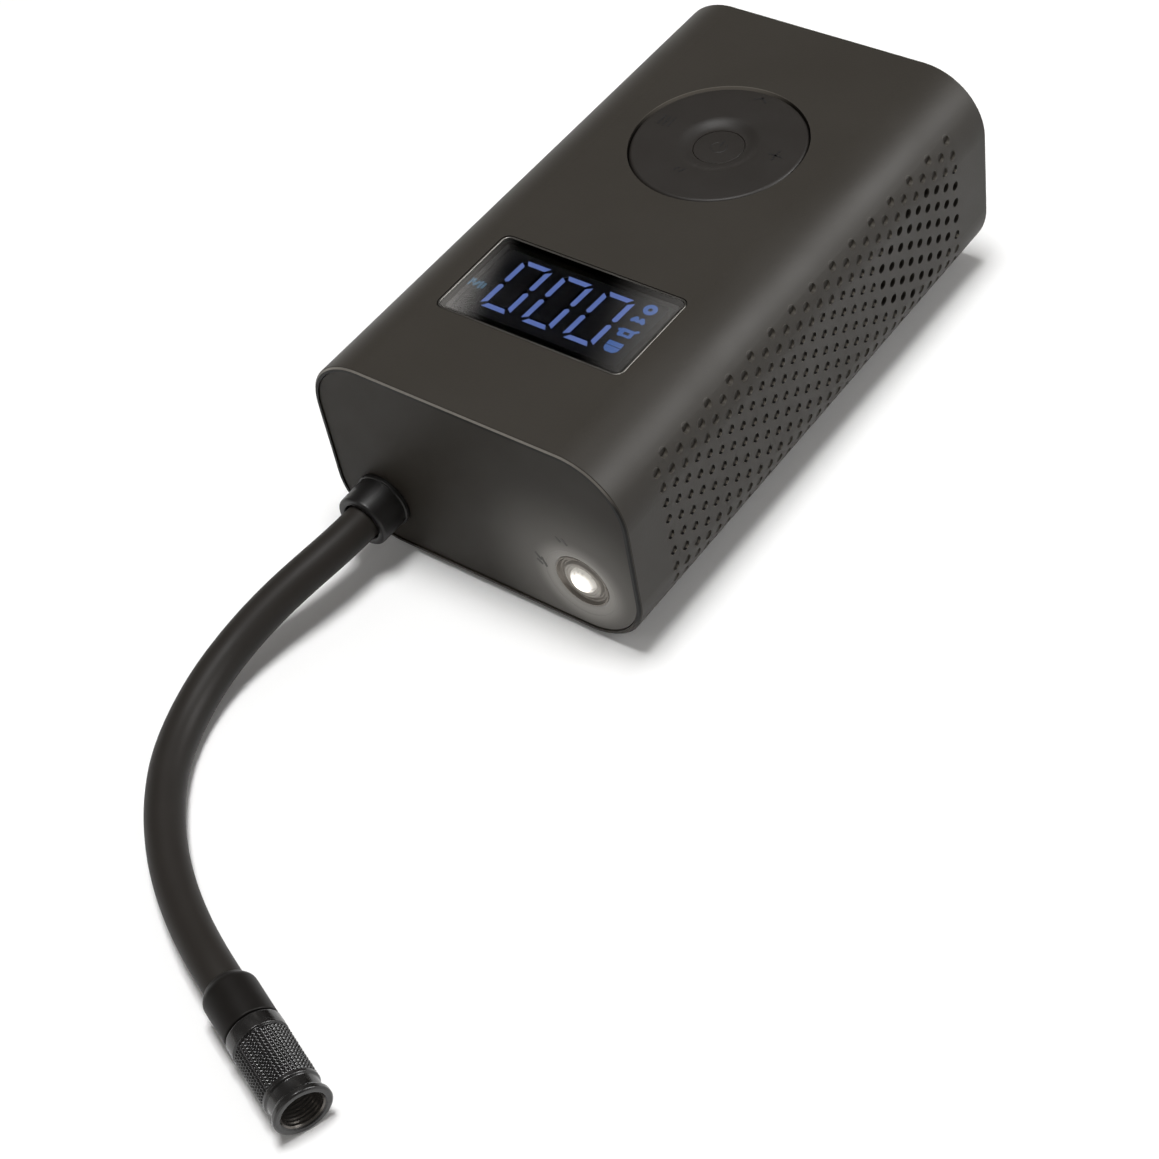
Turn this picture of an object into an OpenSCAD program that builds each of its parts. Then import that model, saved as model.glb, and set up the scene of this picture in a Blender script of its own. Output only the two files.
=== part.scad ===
// Cordless tire inflator, in millimetres.
// X runs across the body, Y along it, Z up. The hose leaves the front, at -Y.
// The origin is the middle of the footprint, on the surface that the feet stand on.

/* [Body] */
// Width of the sleeve
body_w = 78; // [76:1:82]
// Height of the sleeve
body_h = 49; // [48:0.5:52]
// Length of the sleeve
body_l = 134; // [132:1:140]
// Outer radius of the sleeve's long edges
corner_r = 14.5; // [13.5:0.5:15.5]
// Thickness of the sleeve's wall
wall = 1.8; // [1.6:0.1:2]
// Thickness of the lip round each end plate
lip = 1.1; // [1:0.1:1.2]
// Width of the bright bevel on the sleeve's front and rear rims
rim_bevel = 0.5; // [0.3:0.1:0.6]
// Thickness of the two end plates
plate_t = 2.7; // [2.5:0.1:3]
// Height of the rubber feet below the sleeve
foot_h = 0.8; // [0.6:0.1:1.2]

/* [Side pattern] */
// Distance from one column of dimples to the next
dimple_pitch = 3.74; // [3.7:0.02:3.8]
// Distance between dimples in a column
dimple_step = 4.44; // [4.4:0.02:4.5]
// Diameter of a blind dimple
dimple_d = 2.1; // [1.6:0.1:2.2]
// Depth of a blind dimple
dimple_depth = 0.4; // [0.3:0.1:0.9]
// Diameter of a vent hole
vent_d = 2.1; // [1.8:0.1:2.3]
// Number of columns on each side
dimple_columns = 30; // [20:2:30]

/* [Display] */
// Width of the window with its bezel
window_w = 46; // [44:1:50]
// Length of the window with its bezel
window_l = 24.4; // [22:0.2:26]
// Corner radius of the bezel
window_r = 2; // [1.8:0.2:4]
// Distance of the window's middle in front of the body's middle
window_y = 31.8; // [31:0.2:34]

/* [Control ring] */
// Radius of the control ring
ring_r = 19; // [18.5:0.1:19.2]
// Distance of the ring's middle behind the body's middle
ring_y = 24.4; // [24:0.2:25]
// Radius of the key in the ring's middle
key_r = 5.3; // [5:0.1:5.4]
// Gap round the ring and round the key
key_gap = 0.3; // [0.25:0.05:0.35]

/* [Lamp] */
// Distance of the lamp to the right of the middle
lamp_x = 24; // [23:0.2:25]
// Height of the lamp's middle above the sleeve's underside
lamp_rise = 12.9; // [12.6:0.1:14]
// Radius of the lamp's recess in the front plate
lamp_r = 6.5; // [6.3:0.1:6.7]
// Radius of the shallow ring worked into the plate round the recess
lamp_ring_r = 8.5; // [8:0.1:8.8]

/* [Hose and chuck] */
// Outer diameter of the hose
hose_d = 8; // [7:0.5:8]
// Radius of the gland's flange
collar_r = 6.5; // [6.2:0.1:6.8]
// Distance that the gland stands out of the front plate
collar_l = 8; // [7.5:0.5:8]
// Outer radius of the chuck's collar
chuck_r = 5.5; // [5.3:0.1:5.6]
// Length of the chuck's collar
chuck_l = 20; // [19:0.5:21]
// Radius of the chuck's mouth, for a standard car valve
mouth_r = 4; // [3.95:0.05:4.1]
// Depth of the chuck's mouth
mouth_l = 8; // [7:0.5:9]
// Length of the smooth sleeve between the hose and the chuck
ferrule_l = 11; // [10:0.5:12]

/* [Compressor] */
// Bore radius of the cylinder
bore_r = 8; // [7.8:0.1:8.1]
// Throw of the crank, half of the piston's stroke
crank_throw = 7; // [6:0.5:7]
// Distance between the two eyes of the connecting rod
rod_l = 24; // [24:0.5:25]
// Teeth of the crank gear
gear_teeth = 48; // [48:12:48]
// Teeth of the motor's pinion
pinion_teeth = 12; // [12:12:12]
// Module of both gears
gear_module = 0.6; // [0.6:0.1:0.6]
// Radius of the motor's can
motor_r = 12.2; // [11.8:0.1:12.3]

/* [Power] */
// Radius of a battery cell
cell_r = 9.2; // [9:0.1:9.3]
// Length of a battery cell
cell_l = 65; // [64:0.5:65.5]

/* [Hidden] */
$fn = 48;
// Overlap that a cutting tool has past the face it cuts
cut = 1;
// Clearance of a running fit, on the radius
fit = 0.05;

// Levels of the body
top_z = foot_h + body_h;
mid_z = foot_h + body_h / 2;
ceiling_z = top_z - wall;
floor_z = foot_h + wall;
front_y = -body_l / 2;
rear_y = body_l / 2;
// The end plates sit on the shoulder of the sleeve, a little inside its rim
seam = 0.2;
shoulder = 3;
plate_w = body_w - 2 * (lip + seam);
plate_h = body_h - 2 * (lip + seam);
plate_r = corner_r - lip - seam;
plate_posts = [[-33, 24], [33, 24], [-30, 38.5], [30, 38.5]];
post_r = 1.5;
plate_front_y = front_y + shoulder - plate_t;
plate_back_y = front_y + shoulder;

// A column holds this many dimples above and below its middle one, and the rows
// draw together where the sleeve turns over
dimple_rows = 4;
pattern_y = -0.5;
flat_half = body_h / 2 - corner_r;
turn_squeeze = 0.8;
// The vent field is an octagon of through holes near the rear
vent_column = dimple_columns - 5;
vent_columns = 4;
vent_reach = 14;
vent_half_h = 11.5;

// The board and what stands on it
board_z = 39;
board_t = 1.6;
board_top = board_z + board_t;
board_w = 50;
board_front = -58;
board_rear = 62.4;
board_posts = [[-20, -55], [20, -55], [-23.5, 59], [23.5, 59]];
port_z = board_z - 1.7;
switch_w = 4.5;
switch_h = 2.8;
plunger_r = 1.2;
plunger_top = board_top + 3.8;
switch_ring_r = 10.5;

// The tilting control ring
ring_top = top_z - 0.1;
ring_bottom = ring_top - 3;
pivot_z = board_top + 3.8;
pivot_r = 0.6;
carrier_t = 2.2;
lug_out = ring_r - 3.7;
stem_gap = 0.4;
carrier_in = ring_r - 3.4;
carrier_out = ring_r - 0.6;
seat_in = ring_r + key_gap;
seat_out = seat_in + 1.7;
dish_r = 9.4;
dish_depth = 1;

// The window
bezel_gap = 0.1;
bezel_wall = 0.5;
glass_t = 1.4;
digit_w = 6.6;
digit_l = 14.9;
digit_pitch = 10.4;
digits_x = -1.4;
digits_y = 0.8 - window_y;
segment_t = 1.2;
segment_gap = 0.3;
segment_depth = 0.6;
module_top = top_z - 1.6;

// The lamp
lamp_z = foot_h + lamp_rise;
lens_r = 3.35;
dome_r = 5;
dome_tip = plate_t - 0.15;
reflector_r = lamp_r - 0.1;
flange_r = lamp_r + 0.9;

// Battery cells lie across the body
cell_z = 15.8;
cell_y = [-42.9, -23.9];

// The crank turns about a line along X
crank_y = 45;
crank_z = 22.5;
gear_r = gear_teeth * gear_module / 2;
pinion_r = pinion_teeth * gear_module / 2;
motor_y = crank_y - gear_r - pinion_r;
pressure_angle = 25;
backlash = 0.08;
frame_left = -7.5;
frame_right = -4.5;
gear_left = -11.6;
gear_right = -8.5;
disc_left = -15.5;
motor_back = 26.3;
cap_back = 28.5;
fan_left = 29.5;
fan_right = 33.5;
fan_r = 12;
armature_r = 9;
shaft_r = 1;
crank_shaft_r = 2;
bore_x = -21.5;
rod_left = bore_x - 2;
rod_right = bore_x + 2;
// At rest the piston is at the end of its stroke, next to the head
crank_pin_y = crank_y - crank_throw;
wrist_y = crank_pin_y - rod_l;
crown_y = wrist_y - 7;
skirt_y = wrist_y + 5;
block_front = 6.5;
liner_rear = 28.6;
head_front = 1;
// The outlet valve stands in front of the head
valve_y = -3.5;
valve_seat_z = 26;
valve_top_z = 34;
outlet_z = 30;

// The hose's gland and its path over the floor
hose_x = -26.5;
hose_z = foot_h + 12.4;
hose_seat = 4;
collar_front = plate_front_y - collar_l;
chuck_start = [19.8, -171.5, 5.75];
chuck_yaw = -22;
chuck_run = 4;
neck_r = 3.1;
core_r = 4.1;
gasket_r = 3.4;
route = [
  [hose_x, collar_front + hose_seat, hose_z], [-26.5, -76, 13.2], [-27, -82, 12.9],
  [-28.2, -89, 12.2], [-29.8, -96, 10.9], [-31.3, -103.5, 9.1], [-32.2, -111.5, 7.1],
  [-31.9, -120, 5.4], [-30, -128.5, 4.3], [-26.4, -136.8, 4], [-21, -144.6, 4],
  [-14.2, -151.8, 4], [-6.2, -158.2, 4.1], [2, -163.3, 4.5], [9.5, -167.1, 5.2],
  chuck_start - chuck_run * [cos(chuck_yaw), sin(chuck_yaw), 0], chuck_start
];
tube_route = [
  [-21.5, -12, 30], [-21.5, -18, 30], [-21.6, -26, 30], [-22.2, -36, 30],
  [-24.4, -45, 29.6], [-26, -51.5, 28.3], [-26.4, -55.4, 25.6], [-26.5, -57, 22.5],
  [-26.5, -57, 20]
];

// A rectangle with round corners
module rounded(w, h, r) {
  square([w - 2 * r, h], center = true);
  square([w, h - 2 * r], center = true);
  for (x = [-1, 1], y = [-1, 1])
    translate([x * (w / 2 - r), y * (h / 2 - r)]) circle(r);
}

// A prism along Y, in the middle of the body
module slab(w, h, r, y0, y1) {
  translate([0, y1, mid_z]) rotate([90, 0, 0]) linear_extrude(y1 - y0) rounded(w, h, r);
}

// A flat plate with round corners
module tile(w, l, r, z0, z1) {
  translate([0, 0, z0]) linear_extrude(z1 - z0) rounded(w, l, r);
}

module rod_x(y, z, x0, x1, r) {
  translate([x0, y, z]) rotate([0, 90, 0]) cylinder(r = r, h = x1 - x0);
}

module rod_y(x, z, y0, y1, r) {
  translate([x, y1, z]) rotate([90, 0, 0]) cylinder(r = r, h = y1 - y0);
}

module rod_z(x, y, z0, z1, r) {
  translate([x, y, z0]) cylinder(r = r, h = z1 - z0);
}

module box(low, high) {
  translate(low) cube(high - low);
}

// Turned shapes: a profile of [radius, distance] about a line along -Y or +X
module turned_front(x, z, y) {
  translate([x, y, z]) rotate([90, 0, 0]) rotate_extrude() children();
}

module turned_right(y, z, x) {
  translate([x, y, z]) rotate([0, 90, 0]) rotate_extrude() children();
}

// Carries a profile round a rounded rectangle: its x points outwards from the outline
module carried_round(w, h, r) {
  for (k = [0:3])
    rotate([0, 0, 90 * k]) {
      a = k % 2 == 0 ? w : h;
      b = k % 2 == 0 ? h : w;
      translate([a / 2, b / 2 - r, 0]) rotate([90, 0, 0]) linear_extrude(b - 2 * r) children();
      translate([a / 2 - r, b / 2 - r, 0]) rotate_extrude(angle = 90) translate([r, 0]) children();
    }
}

// The bevel that a tool cuts off the outer edge of an outline
module bevel_cut(size) {
  polygon([[-size - cut, cut], [cut, cut], [cut, -size - cut]]);
}

// A tube swept along points, with round ends square to its path
function unit(v) = v / norm(v);
function tangent(p, i) = unit(p[min(i + 1, len(p) - 1)] - p[max(i - 1, 0)]);
function side(t) = unit(cross(t, abs(t.z) > 0.9 ? [0, 1, 0] : [0, 0, 1]));
function ring_points(p, i, r, n) =
  let (t = tangent(p, i), a = side(t), b = cross(a, t))
  [for (k = [0:n - 1]) p[i] + r * (cos(360 * k / n) * a + sin(360 * k / n) * b)];

module swept(p, r, n) {
  last = (len(p) - 1) * n;
  walls = [for (i = [0:len(p) - 2], k = [0:n - 1])
    [i * n + k, i * n + (k + 1) % n, (i + 1) * n + (k + 1) % n, (i + 1) * n + k]];
  start = [for (k = [0:n - 1]) n - 1 - k];
  end = [for (k = [0:n - 1]) last + k];
  polyhedron([for (i = [0:len(p) - 1]) each ring_points(p, i, r, n)], concat(walls, [start, end]));
}

// Involute gears
function involute(base, r) = let (a = acos(min(1, base / r))) tan(a) * 180 / PI - a;
function flank(teeth, r) =
  let (pitch = teeth * gear_module / 2, base = pitch * cos(pressure_angle))
  90 / teeth - backlash * 90 / PI / pitch
    + involute(base, pitch) - involute(base, max(r, base));
function tooth(teeth, tip, root, steps) = concat(
  [for (i = [0:steps]) let (r = root + (tip - root) * i / steps) [r, -flank(teeth, r)]],
  [for (i = [steps:-1:0]) let (r = root + (tip - root) * i / steps) [r, flank(teeth, r)]]
);

module gear_outline(teeth, steps) {
  pitch = teeth * gear_module / 2;
  tip = pitch + gear_module;
  root = pitch - 1.25 * gear_module;
  polygon([for (k = [0:teeth - 1], p = tooth(teeth, tip, root, steps))
    p[0] * [cos(p[1] + 360 * k / teeth), sin(p[1] + 360 * k / teeth)]]);
}

// One stroke of a digit, with pointed ends
module stroke(l) {
  tip = l / 2;
  edge = segment_t / 2;
  polygon([
    [-tip, 0], [edge - tip, edge], [tip - edge, edge],
    [tip, 0], [tip - edge, -edge], [edge - tip, -edge]
  ]);
}

// A seven-segment zero: two strokes on each side and one at each end
module zero_segments() {
  across = digit_w - segment_t;
  along = digit_l - segment_t;
  for (s = [-1, 1]) {
    translate([0, s * along / 2]) stroke(across - segment_gap);
    for (e = [-1, 1])
      translate([s * across / 2, e * along / 4]) rotate(90) stroke(along / 2 - segment_gap);
  }
}

// The strokes of the three digits, from the floor of their slots in the display
module digits(height) {
  for (k = [-1:1])
    translate([digits_x + k * digit_pitch, digits_y, module_top - segment_depth])
      linear_extrude(height) zero_segments();
}

// The side pattern: columns a quarter step up and a quarter step down by turns
function column_y(k) = pattern_y + (k - (dimple_columns - 1) / 2) * dimple_pitch;
function rise(k, j) = (j + (k % 2 == 0 ? -0.25 : 0.25)) * dimple_step;
function drawn_in(s) =
  sign(s) * (min(abs(s), flat_half) + turn_squeeze * max(0, abs(s) - flat_half));
function in_vent(k, j) =
  let (away = abs(k - vent_column), up = abs(rise(k, j) - 0.25 * dimple_step))
  away <= vent_columns && up < vent_half_h && up + away * dimple_step / 2 < vent_reach;
function surface_x(h) =
  let (over = max(0, abs(h) - flat_half))
  body_w / 2 - corner_r + sqrt(corner_r * corner_r - over * over);

// The tools that cut the pattern on the right side
module side_pattern() {
  for (k = [0:dimple_columns - 1], j = [-dimple_rows:dimple_rows]) {
    h = drawn_in(rise(k, j));
    x = surface_x(h);
    if (in_vent(k, j)) rod_x(column_y(k), mid_z + h, x - 4, x + cut, vent_d / 2);
    else rod_x(column_y(k), mid_z + h, x - dimple_depth, x + cut, dimple_d / 2);
  }
}

// Screws: a countersunk head and a shank
module flat_screw(l) {
  rotate_extrude() polygon([[0, 0], [2.2, 0], [2.2, -0.3], [1.1, -1.4], [1.1, -l], [0, -l]]);
}

module cap_screw(l) {
  difference() {
    union() {
      cylinder(r = 1.9, h = 1.5);
      translate([0, 0, -l]) cylinder(r = 0.95, h = l + 0.2);
    }
    translate([0, 0, 0.7]) cylinder(r = 1, h = 2, $fn = 6);
  }
}

module shell() {
  color("#45423d")
    difference() {
      slab(body_w, body_h, corner_r, front_y, rear_y);
      slab(body_w - 2 * wall, body_h - 2 * wall, corner_r - wall, front_y - cut, rear_y + cut);
      for (y = [front_y, rear_y])
        slab(body_w - 2 * lip, body_h - 2 * lip, corner_r - lip, y - shoulder, y + shoulder);
      for (s = [-1, 1])
        translate([0, s * rear_y, mid_z]) rotate([-s * 90, 0, 0])
          carried_round(body_w, body_h, corner_r) bevel_cut(rim_bevel);
      translate([0, -window_y, 0])
        tile(window_w + bezel_gap, window_l + bezel_gap, window_r, ceiling_z - cut, top_z + cut);
      rod_z(0, ring_y, ceiling_z - cut, top_z + cut, ring_r + key_gap);
      for (x = [-1, 1], y = [-1, 1]) rod_z(x * 20, y * 52, 0, foot_h + 0.6, 4);
      side_pattern();
      mirror([1, 0, 0]) side_pattern();
    }
}

module end_plate_body(y0, y1) {
  slab(plate_w, plate_h, plate_r, y0, y1);
}

module front_plate() {
  lamp_edge = 0.7;
  color("#3b3934")
    difference() {
      union() {
        end_plate_body(plate_front_y, plate_back_y);
        for (p = plate_posts) rod_y(p.x, p.y, plate_back_y - cut, plate_back_y + 4, post_r);
      }
      rod_y(hose_x, hose_z, plate_front_y - cut, plate_back_y + cut, 4.6);
      rod_y(lamp_x, lamp_z, plate_front_y - cut, plate_back_y + cut, lamp_r);
      turned_front(lamp_x, lamp_z, plate_front_y)
        polygon(concat(
          [[0, cut], [lamp_ring_r, cut], [lamp_ring_r, 0], [lamp_ring_r - 0.2, -0.12]],
          [for (a = [0:15:90])
            [lamp_r + lamp_edge * (1 - sin(a)), -0.25 - lamp_edge * (1 - cos(a))]],
          [[0, -0.25 - lamp_edge]]
        ));
    }
}

module rear_plate() {
  color("#3b3934")
    difference() {
      end_plate_body(rear_y - shoulder, rear_y - shoulder + plate_t);
      translate([0, rear_y + cut, port_z]) rotate([90, 0, 0])
        linear_extrude(shoulder + 2 * cut) rounded(9.4, 3.7, 1.8);
      translate([0, rear_y + cut, port_z]) rotate([90, 0, 0])
        linear_extrude(cut + 0.9) rounded(13, 7, 3.4);
      for (x = [-1, 1], z = [13, 37])
        translate([x * 29, rear_y - shoulder + plate_t, z]) rotate([-90, 0, 0]) rotate_extrude()
          polygon([
            [0, cut], [2.3, cut], [2.3, -0.5], [1.25, -1.55],
            [1.25, -shoulder - cut], [0, -shoulder - cut]
          ]);
    }
}

module feet() {
  color("#1c1b1b")
    for (x = [-1, 1], y = [-1, 1])
      translate([x * 20, y * 52, 0]) rotate_extrude()
        polygon([[0, 0], [3.5, 0], [3.9, 0.4], [3.9, foot_h + 0.6], [0, foot_h + 0.6]]);
}

module rear_screws() {
  color("#2b2b2d")
    for (x = [-1, 1], z = [13, 37])
      translate([x * 29, rear_y - shoulder + plate_t - 0.1, z]) rotate([-90, 0, 0])
        difference() {
          flat_screw(8);
          translate([0, 0, -0.8]) cylinder(r = 0.9, h = 2, $fn = 6);
        }
}

module display_bezel() {
  outer_w = window_w - bezel_gap;
  outer_l = window_l - bezel_gap;
  color("#8d8b86")
    translate([0, -window_y, 0])
      difference() {
        union() {
          tile(window_w + 3, window_l + 3, window_r, ceiling_z - 1, ceiling_z);
          tile(outer_w, outer_l, window_r, ceiling_z - 1, top_z);
        }
        tile(outer_w - 3, outer_l - 3, window_r - 1.5, ceiling_z - 2, top_z + cut);
        tile(outer_w - 2 * bezel_wall, outer_l - 2 * bezel_wall, window_r - bezel_wall,
          top_z - 0.1 - glass_t, top_z + cut);
      }
}

module display_window() {
  glass_w = window_w - 2 * bezel_gap - 2 * bezel_wall;
  glass_l = window_l - 2 * bezel_gap - 2 * bezel_wall;
  color("#101114")
    translate([0, -window_y, 0])
      tile(glass_w, glass_l, window_r - bezel_wall, top_z - 0.1 - glass_t, top_z - 0.1);
}

module display_module() {
  color("#0c0c0e")
    difference() {
      translate([0, -window_y, 0]) tile(40, 19, 1, board_top, module_top);
      digits(segment_depth + cut);
    }
}

module digit_lenses() {
  color("#7f8fd6") digits(segment_depth);
}

module button_seat() {
  color("#22211f")
    difference() {
      rod_z(0, ring_y, board_top, ceiling_z, seat_out);
      rod_z(0, ring_y, board_top - cut, ceiling_z + cut, seat_in);
      rod_x(ring_y, pivot_z, -seat_out - cut, seat_out + cut, pivot_r + fit);
    }
}

// The frame between the seat and the control ring: it rocks on its pins along X,
// and the control ring rocks in its holes along Y
module key_carrier() {
  color("#33312e")
    translate([0, ring_y, pivot_z]) {
      difference() {
        rod_z(0, 0, -carrier_t / 2, carrier_t / 2, carrier_out);
        rod_z(0, 0, -carrier_t, carrier_t, carrier_in);
        rod_y(0, 0, -carrier_out - cut, carrier_out + cut, pivot_r + fit);
      }
      for (s = [-1, 1])
        rod_x(0, 0, s * (carrier_out + 0.6) - 1.2, s * (carrier_out + 0.6) + 1.2, pivot_r);
    }
}

function dish(r) = dish_depth * (1 + cos(180 * (r - key_r) / (dish_r - key_r))) / 2;

module control_ring() {
  hole = key_r + key_gap;
  steps = 14;
  dish_points = [for (i = [0:steps])
    let (r = hole + (dish_r - hole) * i / steps) [r, ring_top - dish(r)]];
  under = ring_top - 2.4;
  color("#3a3738")
    translate([0, ring_y, 0]) {
      rotate_extrude()
        polygon(concat(
          [[ring_r, ring_bottom], [ring_r, ring_top - 0.4], [ring_r - 0.4, ring_top]],
          [for (i = [steps:-1:0]) dish_points[i]],
          [[hole, under], [ring_r - 1.5, under], [ring_r - 1.5, ring_bottom]]
        ));
      for (a = [0:90:270])
        rotate([0, 0, a]) rod_z(switch_ring_r, 0, plunger_top + stem_gap, under + 0.2, 1.5);
      for (s = [-1, 1]) {
        box([-2, s * (lug_out - 0.7) - 0.7, pivot_z - 0.9], [2, s * (lug_out - 0.7) + 0.7, under + 0.2]);
        rod_y(0, pivot_z, s * (lug_out + 0.6) - 1, s * (lug_out + 0.6) + 1, pivot_r);
      }
    }
}

module centre_button() {
  top = ring_top - dish_depth;
  color("#3a3738")
    translate([0, ring_y, 0])
      rotate_extrude()
        polygon([
          [0, plunger_top + 0.7], [1.6, plunger_top + 0.7], [1.6, ring_top - 3.4],
          [key_r + 1.1, ring_top - 3.4], [key_r + 1.1, ring_top - 2.8],
          [key_r, ring_top - 2.8], [key_r, top - 0.3], [key_r - 0.3, top], [0, top]
        ]);
}

module lamp_reflector() {
  color("#b9b4aa")
    turned_front(lamp_x, lamp_z, plate_back_y)
      polygon([
        [lens_r + 0.1, -1], [5.2, -1], [5.2, -4], [6, -4], [6, -1], [flange_r, -1],
        [flange_r, 0], [reflector_r, 0], [reflector_r, 2.1], [reflector_r - 0.4, 2.1],
        [5.2, 1], [4.8, 1], [4.8, 0.85], [4.4, 0.85], [4.4, 0.7], [3.9, 0.7],
        [3.9, 0.55], [lens_r + 0.1, 0.55]
      ]);
}

module lamp_lens() {
  color("#fff6df")
    translate([lamp_x, plate_back_y, lamp_z]) rotate([90, 0, 0])
      union() {
        rod_z(0, 0, -2.2, -1.1, lens_r + 0.85);
        rod_z(0, 0, -1.1, 1, lens_r);
        intersection() {
          rod_z(0, 0, 1, dome_tip, lens_r);
          translate([0, 0, dome_tip - dome_r]) sphere(r = dome_r);
        }
      }
}

module lamp_board() {
  led = 1.4;
  color("#2f6b3a") {
    rod_y(lamp_x, lamp_z, plate_back_y + 4, plate_back_y + 5, 6);
    box([lamp_x - led, plate_back_y + 3.3, lamp_z - led],
      [lamp_x + led, plate_back_y + 4.1, lamp_z + led]);
  }
}

module main_board() {
  color("#1f5a34")
    difference() {
      box([-board_w / 2, board_front, board_z], [board_w / 2, board_rear, board_top]);
      for (p = board_posts) rod_z(p.x, p.y, board_z - cut, board_top + cut, 1.1);
    }
}

module tact_switches() {
  spots = [[0, 0], [1, 0], [-1, 0], [0, 1], [0, -1]];
  color("#77787a")
    for (p = spots)
      translate([p.x * switch_ring_r, ring_y + p.y * switch_ring_r, board_top]) {
        translate([0, 0, switch_h / 2]) cube([switch_w, switch_w, switch_h], center = true);
        cylinder(r = plunger_r, h = plunger_top - board_top);
      }
}

module pressure_sensor() {
  color("#1b1b1d") {
    box([bore_x - 3.4, valve_y - 3.4, board_z - 2], [bore_x + 3.4, valve_y + 3.4, board_z]);
    rod_z(bore_x, valve_y, board_z - 2.8, board_z - 1.9, 1.2);
  }
}

module sensor_tube() {
  color("#d8d6d0")
    difference() {
      rod_z(bore_x, valve_y, valve_top_z + 1, board_z - 2, 2);
      rod_z(bore_x, valve_y, valve_top_z, board_z, 1.2);
    }
}

module usb_port() {
  y0 = rear_y - shoulder - 6;
  y1 = rear_y - 0.9;
  color("#b7b9bd") {
    translate([0, y1, port_z]) rotate([90, 0, 0])
      difference() {
        linear_extrude(y1 - y0) rounded(8.94, 3.26, 1.6);
        translate([0, 0, -cut]) linear_extrude(y1 - y0 - 0.5) rounded(8.34, 2.6, 1.28);
      }
    box([-3.35, y0 + 1, port_z - 0.35], [3.35, y1 - 1, port_z + 0.35]);
  }
}

module bulkhead(y0, y1) {
  slab(body_w - 2 * wall - 0.6, body_h - 2 * wall - 0.6, corner_r - wall - 0.3, y0, y1);
}

module chassis() {
  deck = 4.9;
  color("#57534d")
    difference() {
      union() {
        box([-24, -63, floor_z + 0.3], [24, 63, deck]);
        bulkhead(-63.2, -61.2);
        bulkhead(61.2, 63.2);
        for (x = [-1, 1]) box([x * 22 - 1.5, -53, deck - 1], [x * 22 + 1.5, -13.8, cell_z]);
        for (x = [-1, 1], z = [13, 37]) rod_y(x * 29, z, 55.5, rear_y - shoulder, 2.9);
        for (p = board_posts) box([p.x - 1.6, p.y - 1.6, deck - 1], [p.x + 1.6, p.y + 1.6, board_z]);
      }
      box([-18, -58, 0], [18, -12, deck + cut]);
      for (y = cell_y) rod_x(y, cell_z, -cell_l / 2 - 2, cell_l / 2 + 2, cell_r + 0.1);
      rod_y(hose_x, hose_z, -64, -60, 5.6);
      rod_y(lamp_x, lamp_z, -64, -60, flange_r + 0.6);
      for (p = plate_posts) rod_y(p.x, p.y, -64, -60, post_r + fit);
      for (y = [18, 31]) rod_z(1.4, y, floor_z, deck + cut, 1);
      box([-board_w / 2 - 0.5, 60, 33], [board_w / 2 + 0.5, 64, board_top + 1]);
      box([-20, 60, 8], [20, 64, 30]);
      box([-16, -64, 10], [12, -60, 42]);
      for (x = [-1, 1], z = [13, 37]) rod_y(x * 29, z, 54.8, rear_y - shoulder + cut, 1.1);
    }
}

module cell(y) {
  color("#3f6f9a")
    rod_x(y, cell_z, -cell_l / 2, cell_l / 2, cell_r);
}

module cell_front() {
  cell(cell_y[0]);
}

module cell_rear() {
  cell(cell_y[1]);
}

module cell_tabs() {
  color("#c9c9c4") {
    x = cell_l / 2;
    box([x, cell_y[0] - 3, cell_z - 3], [x + 0.2, cell_y[1] + 3, cell_z + 3]);
    for (y = cell_y) box([-x - 0.2, y - 3, cell_z - 3], [-x, y + 3, cell_z + 3]);
  }
}

module motor_can() {
  color("#9a9ca0")
    difference() {
      union() {
        rod_x(motor_y, crank_z, frame_right, motor_back, motor_r);
        rod_x(motor_y, crank_z, frame_right - 1.5, frame_right + 0.5, 4);
      }
      rod_x(motor_y, crank_z, frame_right + 1, motor_back + cut, motor_r - 1);
      rod_x(motor_y, crank_z, frame_right - 3, frame_right + 2, shaft_r + fit);
      for (s = [-1, 1]) rod_x(motor_y, crank_z + s * 8, frame_right - cut, frame_right + 2, 1);
    }
}

module motor_magnets() {
  color("#4a4a4d")
    intersection() {
      difference() {
        rod_x(motor_y, crank_z, frame_right + 4, motor_back - 5, motor_r - 1);
        rod_x(motor_y, crank_z, frame_right + 3, motor_back - 4, armature_r + 0.5);
      }
      box([-5, motor_y - 20, crank_z - 8], [30, motor_y + 20, crank_z + 8]);
    }
}

module motor_end_cap() {
  color("#e4e1da")
    difference() {
      union() {
        rod_x(motor_y, crank_z, motor_back, cap_back - 0.7, motor_r);
        rod_x(motor_y, crank_z, motor_back - 1, cap_back, 4.5);
        for (s = [-1, 1])
          box([cap_back - 1, motor_y + s * 8 - 0.3, crank_z - 1.5],
            [cap_back + 0.5, motor_y + s * 8 + 0.3, crank_z + 1.5]);
      }
      rod_x(motor_y, crank_z, motor_back - 3, cap_back + cut, shaft_r + fit);
    }
}

module motor_screws() {
  color("#55565a")
    for (s = [-1, 1])
      translate([frame_left, motor_y, crank_z + s * 8]) rotate([0, -90, 0]) cap_screw(4.5);
}

module armature() {
  slots = 5;
  color("#8a4b2a")
    difference() {
      union() {
        rod_x(motor_y, crank_z, 1, 19, armature_r);
        rod_x(motor_y, crank_z, 19, 23.5, 3);
      }
      for (k = [0:slots - 1])
        translate([0, motor_y, crank_z]) rotate([360 * k / slots, 0, 0])
          box([0, -0.8, 5], [20, 0.8, 10]);
      rod_x(motor_y, crank_z, 0, 25, shaft_r);
    }
}

module motor_shaft() {
  color("#c8cacd") rod_x(motor_y, crank_z, gear_left, fan_right + 0.3, shaft_r);
}

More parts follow.
